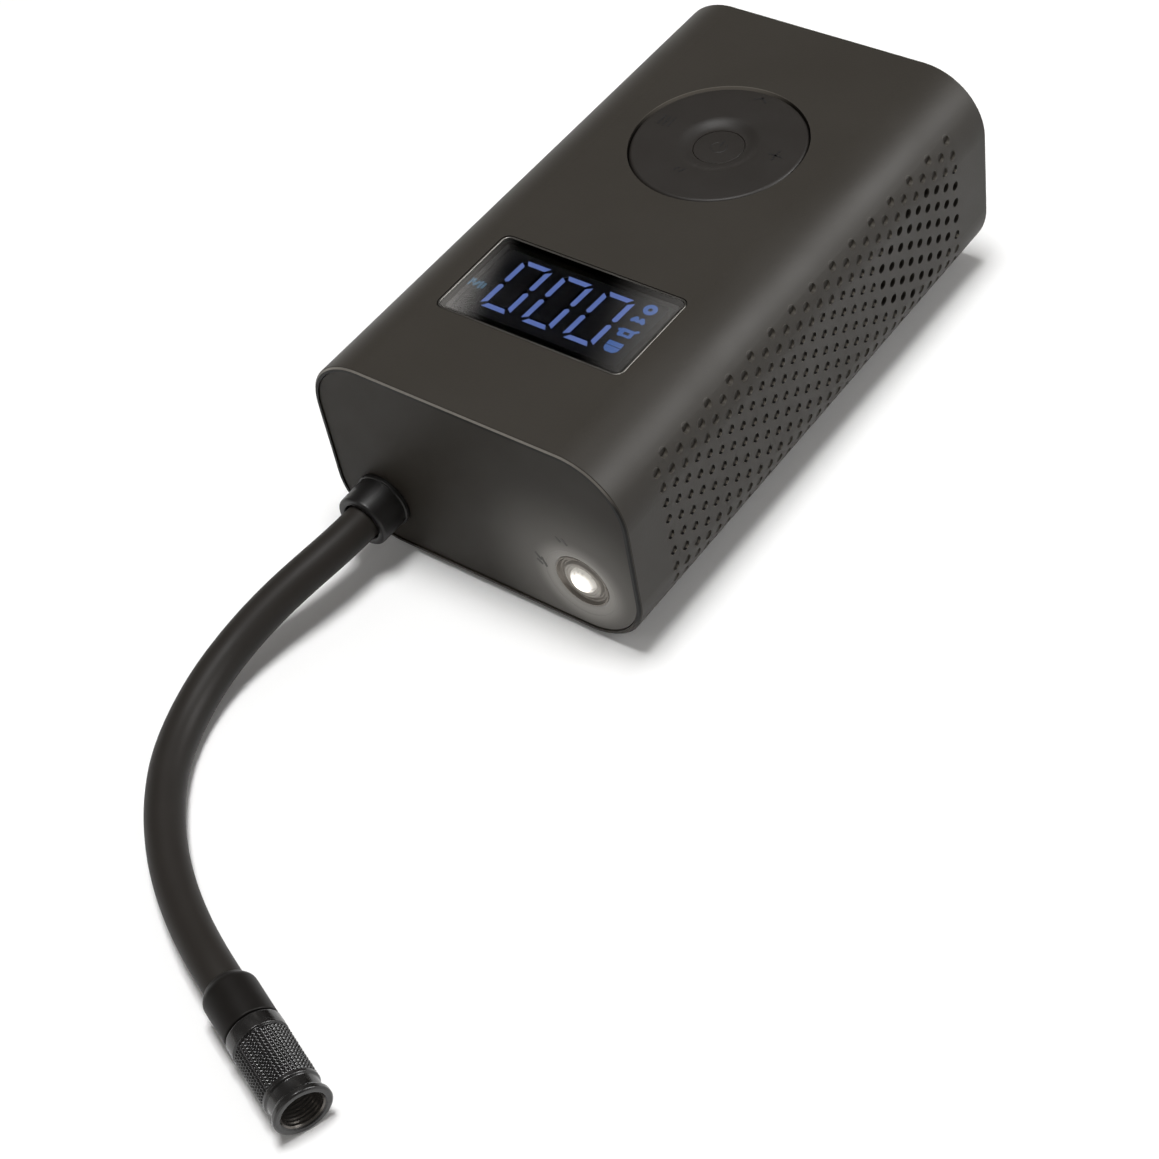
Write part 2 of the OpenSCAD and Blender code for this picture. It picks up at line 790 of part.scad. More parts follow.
module pinion_gear() {
  color("#d1b36a")
    translate([gear_left, motor_y, crank_z]) rotate([90, 0, 90])
      linear_extrude(gear_right - gear_left)
        difference() {
          rotate(180 / pinion_teeth) gear_outline(pinion_teeth, 4);
          circle(shaft_r);
        }
}

module cooling_fan() {
  blades = 9;
  color("#2f3134")
    translate([0, motor_y, crank_z])
      difference() {
        union() {
          rod_x(0, 0, fan_left, fan_right, 3);
          rod_x(0, 0, fan_left, fan_left + 0.8, fan_r);
          for (k = [0:blades - 1])
            rotate([360 * k / blades, 0, 0]) box([fan_left, -0.4, 2], [fan_right, 0.4, fan_r - 0.5]);
        }
        rod_x(0, 0, fan_left - cut, fan_right + cut, shaft_r);
      }
}

module compressor_frame() {
  color("#a3a5a8")
    difference() {
      union() {
        rod_x(motor_y, crank_z, frame_left, frame_right, 13);
        rod_x(crank_y, crank_z, frame_left, frame_right, 8);
        box([frame_left, motor_y, crank_z - 7], [frame_right, crank_y, crank_z + 7]);
        box([frame_left, 15, 4.9], [frame_right, 40, crank_z]);
        rod_x(crank_y, crank_z, frame_left, frame_right + 3, 5.3);
        box([frame_left - 4, 15, 4.9], [4, 34, 7.2]);
        translate([bore_x, 12, crank_z]) rotate([90, 0, 0])
          linear_extrude(12 - block_front) rounded(26, 26, 4);
        rod_y(bore_x, crank_z, block_front, 26, 12);
        box([-12, block_front, crank_z - 6], [frame_left + 1, 25, crank_z + 6]);
        for (y = [14.5, 17.5, 20.5, 23.5])
          intersection() {
            rod_y(bore_x, crank_z, y, y + 1.2, 14);
            box([-36, 0, crank_z - 13], [-12, 30, crank_z + 13]);
          }
      }
      rod_y(bore_x, crank_z, 0, 30, bore_r + 1.5);
      rod_x(motor_y, crank_z, gear_left - 0.6, frame_left, pinion_r + gear_module + 0.6);
      rod_x(motor_y, crank_z, -9, -4, 4.5);
      rod_x(crank_y, crank_z, -9, 0, 3.5);
      for (s = [-1, 1]) rod_x(motor_y, crank_z + s * 8, -9, -4, 1);
      for (x = [-10, 10], z = [-10, 10]) rod_y(bore_x + x, crank_z + z, 5, 13, 1);
      for (y = [18, 31]) rod_z(1.4, y, 4, 8, 1);
    }
}

module frame_screws() {
  color("#55565a")
    for (y = [18, 31]) translate([1.4, y, 7.2]) cap_screw(3.4);
}

module crank_bush() {
  color("#b08a4a")
    turned_right(crank_y, crank_z, frame_left - 0.8)
      polygon([
        [crank_shaft_r + fit, 0], [4.6, 0], [4.6, 0.8], [3.5, 0.8], [3.5, 6.8],
        [crank_shaft_r + fit, 6.8]
      ]);
}

module crank_gear() {
  color("#e8e2d0")
    translate([gear_left, crank_y, crank_z]) rotate([90, 0, 90])
      linear_extrude(gear_right - gear_left)
        difference() {
          gear_outline(gear_teeth, 3);
          circle(crank_shaft_r);
          for (a = [45:90:315]) rotate(a) translate([8.6, 0]) circle(2.6);
        }
}

module crank_shaft() {
  color("#c8cacd") {
    rod_x(crank_y, crank_z, gear_left, frame_left + 6.9, crank_shaft_r);
    rod_x(crank_y, crank_z, frame_left + 6.1, frame_left + 7.1, 3);
  }
}

module crank_disc() {
  color("#84868a") {
    rod_x(crank_y, crank_z, disc_left, gear_left, 4.5);
    rod_x(crank_pin_y, crank_z, rod_right + 0.3, gear_left, 3.2);
    box([disc_left, crank_pin_y, crank_z - 3.2], [gear_left, crank_y, crank_z + 3.2]);
    intersection() {
      rod_x(crank_y, crank_z, disc_left, gear_left, 11);
      box([disc_left, crank_y + 1, crank_z - 9], [gear_left, crank_y + 12, crank_z + 9]);
    }
  }
}

module connecting_rod() {
  color("#caccce")
    difference() {
      union() {
        rod_x(crank_pin_y, crank_z, rod_left, rod_right, 4.6);
        rod_x(wrist_y, crank_z, rod_left, rod_right, 3.6);
        box([rod_left + 0.8, wrist_y, crank_z - 2], [rod_right - 0.8, crank_pin_y, crank_z + 2]);
      }
      rod_x(crank_pin_y, crank_z, rod_left - cut, rod_right + cut, 2);
      rod_x(wrist_y, crank_z, rod_left - cut, rod_right + cut, 1.5 + fit);
    }
}

module crank_pin() {
  color("#c8cacd") {
    rod_x(crank_pin_y, crank_z, rod_left - 0.9, rod_right, 2);
    rod_x(crank_pin_y, crank_z, rod_left - 0.9, rod_left, 3);
  }
}

module wrist_pin() {
  color("#c8cacd") rod_x(wrist_y, crank_z, bore_x - 7, bore_x + 7, 1.5);
}

module piston() {
  color("#d9dadb")
    difference() {
      rod_y(bore_x, crank_z, crown_y, skirt_y, bore_r - 0.08);
      difference() {
        rod_y(bore_x, crank_z, crown_y + 1.2, crown_y + 3.2, bore_r + cut);
        rod_y(bore_x, crank_z, crown_y, crown_y + 4, bore_r - 1.4);
      }
      box([rod_left - 0.4, crown_y + 3, crank_z - 4.2], [rod_right + 0.4, skirt_y + cut, crank_z + 4.2]);
      rod_x(wrist_y, crank_z, bore_x - bore_r - cut, bore_x + bore_r + cut, 1.5);
    }
}

module piston_seal() {
  color("#26221f")
    difference() {
      rod_y(bore_x, crank_z, crown_y + 1.2, crown_y + 3.2, bore_r - 0.03);
      rod_y(bore_x, crank_z, crown_y, crown_y + 4, bore_r - 1.4);
    }
}

module cylinder_liner() {
  color("#bfc1c4")
    difference() {
      rod_y(bore_x, crank_z, block_front, liner_rear, bore_r + 1.5);
      rod_y(bore_x, crank_z, block_front - cut, liner_rear + cut, bore_r);
    }
}

module head_outline(y0, y1) {
  translate([bore_x, y1, crank_z]) rotate([90, 0, 0]) linear_extrude(y1 - y0) rounded(26, 26, 4);
}

module head_gasket() {
  color("#3a2a20")
    difference() {
      head_outline(block_front - 0.5, block_front);
      rod_y(bore_x, crank_z, 0, block_front + cut, bore_r);
      for (x = [-10, 10], z = [-10, 10]) rod_y(bore_x + x, crank_z + z, 5, 7, 1.1);
    }
}

module cylinder_head() {
  rear = block_front - 0.5;
  color("#a3a5a8")
    difference() {
      union() {
        head_outline(head_front, rear);
        rod_z(bore_x, valve_y, 19.5, valve_top_z + 1, 4);
        box([bore_x - 4, valve_y, 19.5], [bore_x + 4, head_front + cut, 32]);
        rod_y(bore_x, outlet_z, -12, valve_y, 1.8);
        rod_z(bore_x, valve_y, valve_top_z, valve_top_z + 1.8, 1.2);
        for (x = [-4.5:4.5:4.5])
          box([bore_x + x - 0.6, head_front - 1.2, 12], [bore_x + x + 0.6, head_front + cut, 18]);
      }
      rod_y(bore_x, 23, valve_y, rear + cut, 1.2);
      rod_z(bore_x, valve_y, 23, valve_seat_z + cut, 1.2);
      rod_z(bore_x, valve_y, valve_seat_z, valve_top_z, 2.6);
      rod_y(bore_x, outlet_z, -13, valve_y, 1);
      rod_z(bore_x, valve_y, valve_top_z - cut, valve_top_z + 3, 0.6);
      for (x = [-10, 10], z = [-10, 10]) rod_y(bore_x + x, crank_z + z, 0, 7, 1.1);
    }
}

module head_screws() {
  color("#55565a")
    for (x = [-10, 10], z = [-10, 10])
      translate([bore_x + x, head_front, crank_z + z]) rotate([90, 0, 0]) cap_screw(10);
}

module outlet_poppet() {
  color("#c4543a")
    translate([bore_x, valve_y, valve_seat_z]) {
      cylinder(r = 2.2, h = 1.2);
      cylinder(r = 0.9, h = 3.6);
    }
}

// A coil spring between the poppet and the top of its chamber
module valve_spring() {
  turns = 4;
  steps = 12;
  wire_r = 0.22;
  coil_r = 1.7;
  low = valve_seat_z + 1.2 + wire_r;
  high = valve_top_z - wire_r;
  count = turns * steps;
  coil = [for (i = [0:count])
    [bore_x + coil_r * cos(360 * i / steps), valve_y + coil_r * sin(360 * i / steps),
      low + (high - low) * i / count]];
  color("#c8cacd") swept(coil, wire_r, 6);
}

module outlet_elbow() {
  color("#b08a4a")
    difference() {
      union() {
        rod_y(hose_x, hose_z, plate_front_y + 2, -54.5, 3);
        rod_z(hose_x, -57, hose_z, 20, 1.8);
      }
      rod_y(hose_x, hose_z, plate_front_y, -57, 1.2);
      rod_z(hose_x, -57, hose_z, 21, 1.2);
    }
}

module air_tube() {
  color("#d8d6d0") swept(tube_route, 2.4, 8);
}

module hose_collar() {
  flange = 1;
  bore = hose_d / 2 + 0.35;
  color("#1b1818")
    turned_front(hose_x, hose_z, plate_front_y)
      polygon([
        [1.5, -2], [3, -2], [3, -5.7], [4.5, -5.7], [4.5, 0], [collar_r, 0],
        [collar_r, flange], [6.2, flange + 0.2], [6.1, collar_l - 0.5], [5.7, collar_l],
        [bore + 0.3, collar_l], [bore, collar_l - 0.4], [bore, collar_l - hose_seat],
        [1.5, collar_l - hose_seat]
      ]);
}

module hose() {
  color("#2d2b2a") swept(route, hose_d / 2, 10);
}

// Places a child, made along +Z from the hose's end, on the line of the chuck
module on_chuck_line() {
  translate(chuck_start) rotate([0, 90, chuck_yaw]) children();
}

module hose_ferrule() {
  r = chuck_r - 0.1;
  color("#242223")
    on_chuck_line() rotate_extrude()
      polygon([
        [0, 0], [hose_d / 2 + 0.3, 0], [r - 0.5, 0.5], [r, 1.6], [r, ferrule_l - 0.4],
        [r - 0.4, ferrule_l], [0, ferrule_l]
      ]);
}

module chuck_collar() {
  length = chuck_l - 0.3;
  step = length - 0.5 - mouth_l;
  color("#232122")
    on_chuck_line() translate([0, 0, ferrule_l + 0.3])
      rotate_extrude()
        polygon([
          [neck_r + 0.08, 0], [chuck_r - 0.3, 0], [chuck_r, 0.4], [chuck_r, 3], [chuck_r - 0.2, 3.2],
          [chuck_r - 0.2, 14.2], [chuck_r, 14.4], [chuck_r, 15], [chuck_r - 0.3, 15.4],
          [chuck_r - 0.3, length - 1.8], [chuck_r + 0.2, length - 1.3], [chuck_r + 0.2, length - 0.3],
          [chuck_r - 0.1, length], [mouth_r + 0.5, length], [mouth_r, length - 0.5], [mouth_r, step],
          [core_r + 0.08, step], [core_r + 0.08, 2], [neck_r + 0.08, 2]
        ]);
}

// The core's shoulder holds the collar on, and the collar turns round it
module chuck_core() {
  shoulder_at = ferrule_l + 2.4;
  seat_at = ferrule_l + 7.5;
  front_at = ferrule_l + 9;
  color("#c2a25c")
    on_chuck_line() rotate_extrude()
      polygon([
        [0, ferrule_l], [neck_r, ferrule_l], [neck_r, shoulder_at], [core_r, shoulder_at],
        [core_r, front_at], [gasket_r, front_at], [gasket_r, seat_at], [0, seat_at]
      ]);
}

module chuck_gasket() {
  seat_at = ferrule_l + 7.5;
  color("#1a1a1a")
    on_chuck_line() rotate_extrude()
      polygon([
        [1.3, seat_at], [gasket_r, seat_at], [gasket_r, seat_at + 3], [gasket_r - 0.4, seat_at + 3.5],
        [1.3, seat_at + 3.5]
      ]);
}

module valve_pin() {
  color("#d7c389")
    on_chuck_line() rotate_extrude()
      polygon([
        [0, ferrule_l + 7.5], [0.9, ferrule_l + 7.5], [0.9, ferrule_l + 11], [0.6, ferrule_l + 11.4],
        [0, ferrule_l + 11.4]
      ]);
}

shell();
front_plate();
rear_plate();
feet();
rear_screws();
display_bezel();
display_window();
display_module();
digit_lenses();
button_seat();
key_carrier();
control_ring();
centre_button();
lamp_reflector();
lamp_lens();
lamp_board();
main_board();
tact_switches();
pressure_sensor();
sensor_tube();
usb_port();
chassis();
cell_front();
cell_rear();
cell_tabs();
motor_can();
motor_magnets();
motor_end_cap();
motor_screws();
armature();
motor_shaft();
pinion_gear();
cooling_fan();
compressor_frame();
frame_screws();
crank_bush();
crank_gear();
crank_shaft();
crank_disc();
connecting_rod();
crank_pin();
wrist_pin();
piston();
piston_seal();
cylinder_liner();
head_gasket();
cylinder_head();
head_screws();
outlet_poppet();
valve_spring();
outlet_elbow();
air_tube();
hose_collar();
hose();
hose_ferrule();
chuck_collar();
chuck_core();
chuck_gasket();
valve_pin();
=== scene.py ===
import math

import bmesh
import bpy
import numpy as np
from bpy.props import FloatProperty, FloatVectorProperty, IntProperty, PointerProperty
from mathutils import Matrix, Vector


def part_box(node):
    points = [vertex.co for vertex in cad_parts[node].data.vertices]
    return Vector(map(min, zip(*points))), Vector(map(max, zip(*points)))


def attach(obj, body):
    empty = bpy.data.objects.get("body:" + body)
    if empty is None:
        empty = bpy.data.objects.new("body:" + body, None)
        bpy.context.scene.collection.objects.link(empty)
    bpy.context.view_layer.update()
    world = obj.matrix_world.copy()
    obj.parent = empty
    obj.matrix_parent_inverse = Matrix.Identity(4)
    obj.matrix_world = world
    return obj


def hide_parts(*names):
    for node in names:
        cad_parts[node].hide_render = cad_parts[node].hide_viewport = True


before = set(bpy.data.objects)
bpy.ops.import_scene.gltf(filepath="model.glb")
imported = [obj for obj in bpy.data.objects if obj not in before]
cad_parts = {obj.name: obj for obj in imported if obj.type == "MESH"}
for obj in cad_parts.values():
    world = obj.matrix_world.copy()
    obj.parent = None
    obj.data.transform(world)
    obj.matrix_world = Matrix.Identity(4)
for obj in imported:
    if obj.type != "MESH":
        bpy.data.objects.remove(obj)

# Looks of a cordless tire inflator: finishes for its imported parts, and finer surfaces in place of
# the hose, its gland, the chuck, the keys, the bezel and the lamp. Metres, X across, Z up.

bl_info = {
    "name": "Tire Inflator Looks",
    "version": (1, 0, 0),
    "blender": (4, 5, 0),
    "location": "View3D > Sidebar > Inflator",
    "description": "Surfaces and finishes of a cordless tire inflator",
    "category": "Object",
}

MM = 0.001
TAU = 2 * math.pi
BOX = {name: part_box(name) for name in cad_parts}


def middle_of(name):
    """Middle of a part's box: half the sum of its two corners."""
    low, high = BOX[name]
    return (low + high) / 2


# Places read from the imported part
SLEEVE_HIGH = BOX["shell"][1]
TOP = SLEEVE_HIGH.z
PLATE_FRONT = BOX["front_plate"][0].y
RING_AXIS = (*middle_of("control_ring").xy, 0)
RING_TOP = BOX["control_ring"][1].z
GLAND_MIDDLE = middle_of("hose_collar")
LAMP_MIDDLE = middle_of("lamp_lens")
WINDOW_MIDDLE = middle_of("display_window")
WINDOW_SIZE = BOX["display_bezel"][1] - BOX["display_bezel"][0]

# Axes of a shape whose own Z points out of the front plate
OUT_OF_PLATE = [(1, 0, 0), (0, 0, 1), (0, -1, 0)]

# The side pattern's columns and rows, in millimetres, as the sleeve is drilled
PATTERN = {
    "start": -0.5, "pitch": 3.74, "columns": 30, "step": 4.44, "rows": 4,
    "middle": 25.3, "flat": 10.0, "squeeze": 0.8, "radius": 1.05,
    "vent_column": 25, "vent_columns": 4, "vent_reach": 14.0, "vent_half_h": 11.5,
}

# The chuck: where its sleeve starts, its axes across, up and along, and the collar's sizes in
# millimetres, along the chuck and from its axis
CHUCK_START = Vector((0.0198, -0.1715, 0.00575))
CHUCK_YAW = math.radians(-22)
CHUCK_AXES = [
    (-math.sin(CHUCK_YAW), math.cos(CHUCK_YAW), 0), (0, 0, 1),
    (math.cos(CHUCK_YAW), math.sin(CHUCK_YAW), 0),
]
COLLAR = {"start": 11.3, "length": 19.7, "wall": 5.15, "bore": 4.0, "foot": 3.5, "grip": 10.6}

# The hose's middle line, from its seat in the gland to the sleeve of the chuck, which it meets
# in a straight run
CHUCK_RUN = 0.004
HOSE_ROUTE = [
    (-0.0265, -0.0707, 0.0132), (-0.0265, -0.076, 0.0132), (-0.027, -0.082, 0.0129),
    (-0.0282, -0.089, 0.0122), (-0.0298, -0.096, 0.0109), (-0.0313, -0.1035, 0.0091),
    (-0.0322, -0.1115, 0.0071), (-0.0319, -0.12, 0.0054), (-0.03, -0.1285, 0.0043),
    (-0.0264, -0.1368, 0.004), (-0.021, -0.1446, 0.004), (-0.0142, -0.1518, 0.004),
    (-0.0062, -0.1582, 0.0041), (0.002, -0.1633, 0.0045), (0.0095, -0.1671, 0.0052),
    tuple(CHUCK_START - CHUCK_RUN * Vector(CHUCK_AXES[2])), tuple(CHUCK_START),
]
HOSE_DIAMETER = 0.008

CAMERA_PLACE = Vector((0.2496, -0.2938, 0.3564))

# Soft lamps: their size, and their place from the middle of the object
LAMPS = {
    "key": (0.36, (0.02, 0.03, 1.2)), "rim": (0.35, (0.62, 0.58, 0.53)),
    "sheen": (0.56, (0.66, 0.50, 0.56)), "front": (0.45, (-0.482, -0.73, 0.485)),
}

# The display: the digits' middle, and small bars behind the glass in millimetres, each with its
# middle, its run and its width
DIGITS_MIDDLE = (-0.00135, -0.03135)
RIGHT_BARS = [
    (-0.9, 3.75, 0.5, 0.7, 1.0), (0.95, 3.75, 0.5, -0.7, 1.0), (0, 3.5, 0.4, 0, 0.9),
    (0, 0.25, 2.4, 0, 0.8), (0, -1.25, 2.2, 0, 0.6), (-1.1, -0.55, 0, 1.2, 1.1),
    (1.2, -0.55, 0, 1.2, 0.8), (-1.7, 0, 0.4, 0, 0.6), (1.75, 0.6, 0.5, 0.4, 0.6),
]
LEFT_BARS = [
    (-1.7, 0, 0, 1.7, 0.6), (-1.0, 0.45, 0, 0.8, 0.6), (-0.1, 0, 0.6, 1.0, 0.7),
    (0.9, 0, 0, 1.7, 0.6), (1.7, 0, 0, 1.2, 0.6),
]

# Marks on the keys: their body, the part they lie on, and strokes in millimetres from the
# ring's axis. The ring has bars on its left and below, a cross on its right and a chevron at
# its back, and the key has one stroke
KEY_MARKS = {
    "ring_marks": ("ring", "control_ring", [
        ((-15.6, 0.2), (-15.6, 3.2)), ((-14.4, 0.2), (-14.4, 3.2)), ((-13.2, 0.2), (-13.2, 3.2)),
        ((11.6, 1.7), (14.6, 1.7)), ((13.1, 0.2), (13.1, 3.2)),
        ((-1.4, 15.9), (0, 17)), ((0, 17), (1.4, 15.9)),
        ((-3.6, -11.4), (-3.0, -10.2)), ((-2.2, -11.4), (-1.6, -10.2)),
    ]),
    "key_mark": ("key", "centre_button", [((0, 0.4), (0, 2.1))]),
}

# Strokes on the front plate, in millimetres across and up
PLATE_MARKS = [
    ((20.0, 25.0), (20.8, 24.2)), ((21.4, 25.1), (22.4, 24.0)), ((13.6, 17.4), (14.6, 16.0)),
    ((15.0, 16.6), (15.8, 14.6)), ((13.8, 15.6), (14.8, 14.8)),
]

# Finish of the inner parts: colour, roughness, metallic, grain and the parts that have it
INSIDE = {
    "board_green": ((0.012, 0.085, 0.03), 0.35, 0.0, 0.0006, "main_board lamp_board"),
    "switch_steel": ((0.32, 0.32, 0.33), 0.35, 1.0, 0.0002, "tact_switches"),
    "sensor_black": ((0.012, 0.012, 0.013), 0.5, 0.0, 0.0003, "pressure_sensor"),
    "clear_tube": ((0.62, 0.60, 0.56), 0.25, 0.0, 0.0005, "sensor_tube air_tube"),
    "chassis_plastic": ((0.095, 0.088, 0.078), 0.55, 0.0, 0.0004, "chassis"),
    "cell_wrap": ((0.05, 0.15, 0.30), 0.3, 0.0, 0.0008, "cell_front cell_rear"),
    "nickel_strip": ((0.58, 0.57, 0.53), 0.3, 1.0, 0.0002, "cell_tabs"),
    "motor_steel": ((0.33, 0.34, 0.35), 0.34, 1.0, 0.0003, "motor_can"),
    "magnet_grey": ((0.07, 0.07, 0.074), 0.5, 0.4, 0.0003, "motor_magnets"),
    "cap_plastic": ((0.75, 0.72, 0.66), 0.5, 0.0, 0.0004, "motor_end_cap"),
    "copper_winding": ((0.35, 0.13, 0.05), 0.35, 0.9, 0.0005, "armature"),
    "shaft_steel": ((0.58, 0.59, 0.60), 0.22, 1.0, 0.0002,
                    "motor_shaft crank_shaft crank_pin wrist_pin valve_spring"),
    "brass": ((0.62, 0.44, 0.16), 0.3, 1.0, 0.0003, "pinion_gear crank_bush outlet_elbow"),
    "fan_plastic": ((0.025, 0.027, 0.03), 0.45, 0.0, 0.0004, "cooling_fan"),
    "cast_alloy": ((0.36, 0.37, 0.38), 0.48, 0.9, 0.0005, "compressor_frame cylinder_head"),
    "dark_screws": ((0.09, 0.09, 0.1), 0.35, 1.0, 0.0002, "motor_screws frame_screws head_screws"),
    "gear_nylon": ((0.80, 0.75, 0.62), 0.45, 0.0, 0.0004, "crank_gear"),
    "disc_iron": ((0.22, 0.23, 0.24), 0.42, 1.0, 0.0004, "crank_disc"),
    "turned_alloy": ((0.66, 0.67, 0.68), 0.28, 1.0, 0.0002, "connecting_rod piston cylinder_liner"),
    "seal_black": ((0.018, 0.015, 0.012), 0.5, 0.0, 0.0003, "piston_seal head_gasket"),
    "poppet_silicone": ((0.50, 0.09, 0.045), 0.45, 0.0, 0.0004, "outlet_poppet"),
}


# ---------------------------------------------------------------- sizes and colours

def colour(name, description, default):
    return FloatVectorProperty(
        name=name, description=description, default=default,
        subtype="COLOR", size=3, min=0, max=1,
    )


def length(name, description, default):
    return FloatProperty(
        name=name, description=description, default=default, unit="LENGTH", min=0, precision=5,
    )


def share(name, description, default):
    return FloatProperty(name=name, description=description, default=default, min=0, max=1)


def level(name, description, default):
    return FloatProperty(name=name, description=description, default=default, min=0)


def power(name, description, default):
    return FloatProperty(name=name, description=description, default=default, min=0, unit="POWER")


class InflatorCase(bpy.types.PropertyGroup):
    """Finish of the sleeve and its end plates"""
    sleeve: colour("Sleeve", "Matt coat of the metal sleeve", (0.0300, 0.0262, 0.0212))
    # The cut edge's bare metal is laid only at the top of the rims, as a painted highlight there
    edge: colour("Cut edge", "Bare metal of the sleeve's bevelled rims", (0.26, 0.245, 0.22))
    # Painted light: the dimples' walls are lighter in this colour, and glow in it as light of their
    # own
    dimple: colour("Dimples", "Lighter walls of the blind dimples", (0.12, 0.108, 0.092))
    # Strength of the painted glow on the dimples' walls and on the far wall of the ring's hole
    painted_wall_glow: level("Wall light", "Light that the dimples' walls scatter among themselves", 0.33)
    plate: colour("End plates", "Plastic of the front and rear plates", (0.0255, 0.0217, 0.0170))
    rubber: colour("Feet", "Rubber of the feet", (0.012, 0.012, 0.012))
    roughness: share("Roughness", "How matt the sleeve is", 0.48)
    grain: length("Grain", "Size of the coat's grain", 0.0004)


class InflatorWindow(bpy.types.PropertyGroup):
    """Display window, its bezel and what it shows"""
    lip: length("Lip", "Radius of the bezel's round lip", 0.0002)
    digit: colour("Digits", "Light of the digits", (0.165, 0.255, 0.66))
    mark: colour("Marks", "Light of the small marks", (0.060, 0.170, 0.52))
    unit_mark: colour("Unit mark", "Light of the mark left of the digits", (0.03, 0.14, 0.24))
    digit_width: length("Digit width", "Width of a digit", 0.0075)
    digit_height: length("Digit height", "Height of a digit", 0.0152)
    digit_pitch: length("Digit pitch", "Distance from one digit to the next", 0.01025)
    stroke_width: length("Stroke width", "Width of a digit's strokes", 0.00119)
    mark_height: length("Mark height", "Thickness of the marks' printed layer", 0.00005)
    corner: length("Corner", "Corner radius of the bezel", 0.002)


class InflatorKeys(bpy.types.PropertyGroup):
    """Tilting ring and the key in its middle"""
    face: colour("Keys", "Soft plastic of the ring and the key", (0.0175, 0.0150, 0.0130))
    ink: colour("Marks", "Dark ink of the keys' marks", (0.009, 0.008, 0.008))
    fillet: length("Edge", "Radius of the ring's outer edge", 0.0009)
    dish_depth: length("Dish depth", "How far the ring sinks towards its key", 0.001)
    dish_radius: length("Dish radius", "Where the ring starts to sink", 0.0094)
    key_radius: length("Key radius", "Radius of the key in the middle", 0.00542)
    gap: length("Gap", "Gap between the key and the ring", 0.00018)
    ink_height: length("Ink height", "Thickness of the marks", 0.00003)


class InflatorLamp(bpy.types.PropertyGroup):
    """Lamp in the front plate"""
    # This colour also tints the painted glows on the reflector and round the lamp on the front plate
    light: colour("Light", "Colour of the lit lens", (1.0, 0.965, 0.90))
    strength: level("Strength", "Brightness of the lens", 1.2)
    dish: colour("Reflector", "Satin reflector", (0.16, 0.141, 0.119))
    lens_radius: length("Lens radius", "Radius of the lens", 0.0030)
    dome_radius: length("Dome radius", "Radius that the lens bulges with", 0.0040)
    lens_tip: length("Lens tip", "How far the lens stands out of the plate's back", 0.0034)


class InflatorHose(bpy.types.PropertyGroup):
    """Hose and the gland it leaves the body through"""
    rubber: colour("Hose", "Satin rubber of the hose", (0.0205, 0.0178, 0.0155))
    gland: colour("Gland", "Harder rubber of the gland", (0.0085, 0.0078, 0.0076))
    sides: IntProperty(name="Sides", description="Points round the hose", default=64, min=12)
    rings: IntProperty(name="Rings", description="Rings along the hose", default=260, min=40)


class InflatorChuck(bpy.types.PropertyGroup):
    """Screw-on chuck at the hose's end"""
    metal: colour("Collar", "Black coat of the turned metal", (0.0095, 0.0088, 0.0085))
    # The thread's colour also tints its faint painted glow
    thread: colour("Thread", "Bare metal of the thread inside", (0.13, 0.12, 0.11))
    sleeve: colour("Sleeve", "Smooth sleeve on the hose's end", (0.0085, 0.0074, 0.0066))
    knurl_pitch: length("Knurl pitch", "Distance between the knurl's points", 0.00078)
    knurl_count: IntProperty(
        name="Knurl points", description="Points round the collar", default=42, min=12,
    )
    knurl_depth: length("Knurl depth", "Height of the knurl's points", 0.00032)


class InflatorStage(bpy.types.PropertyGroup):
    """Floor, lights and camera"""
    floor: colour("Floor", "Pale floor", (0.97, 0.97, 0.97))
    lift: share("Floor lift", "Light that the floor adds where it is seen", 0.04)
    horizon: level("Horizon", "Level of the surround near the horizon", 0.32)
    backdrop: level("Backdrop", "Level of the surround where it is seen as white", 1.09)
    sky: level("Sky", "Level of the surround overhead", 0.15)
    card: level("Card", "Level of the soft card that the window mirrors", 1.8)
    key: power("Key light", "Soft light almost overhead", 13.0)
    rim: power("Rim light", "Light behind on the right", 1.4)
    sheen: power("Sheen light", "Light behind on the right that only shows in reflections", 10.0)
    front: power("Front light", "Light low in front", 0.55)
    lens: FloatProperty(name="Lens", description="Focal length in millimetres", default=74.05, min=1)


GROUPS = {
    "case": InflatorCase, "window": InflatorWindow, "keys": InflatorKeys, "lamp": InflatorLamp,
    "hose": InflatorHose, "chuck": InflatorChuck, "stage": InflatorStage,
}


class InflatorLooks(bpy.types.PropertyGroup):
    """All sizes and colours of the inflator's looks"""
    case: PointerProperty(type=InflatorCase)
    window: PointerProperty(type=InflatorWindow)
    keys: PointerProperty(type=InflatorKeys)
    lamp: PointerProperty(type=InflatorLamp)
    hose: PointerProperty(type=InflatorHose)
    chuck: PointerProperty(type=InflatorChuck)
    stage: PointerProperty(type=InflatorStage)


# ---------------------------------------------------------------- surfaces

def unit(v):
    """Vectors of length one in the directions of the given ones: each is divided by its size."""
    size = np.linalg.norm(v, axis=-1, keepdims=True)
    return v / np.where(size > 0, size, 1)


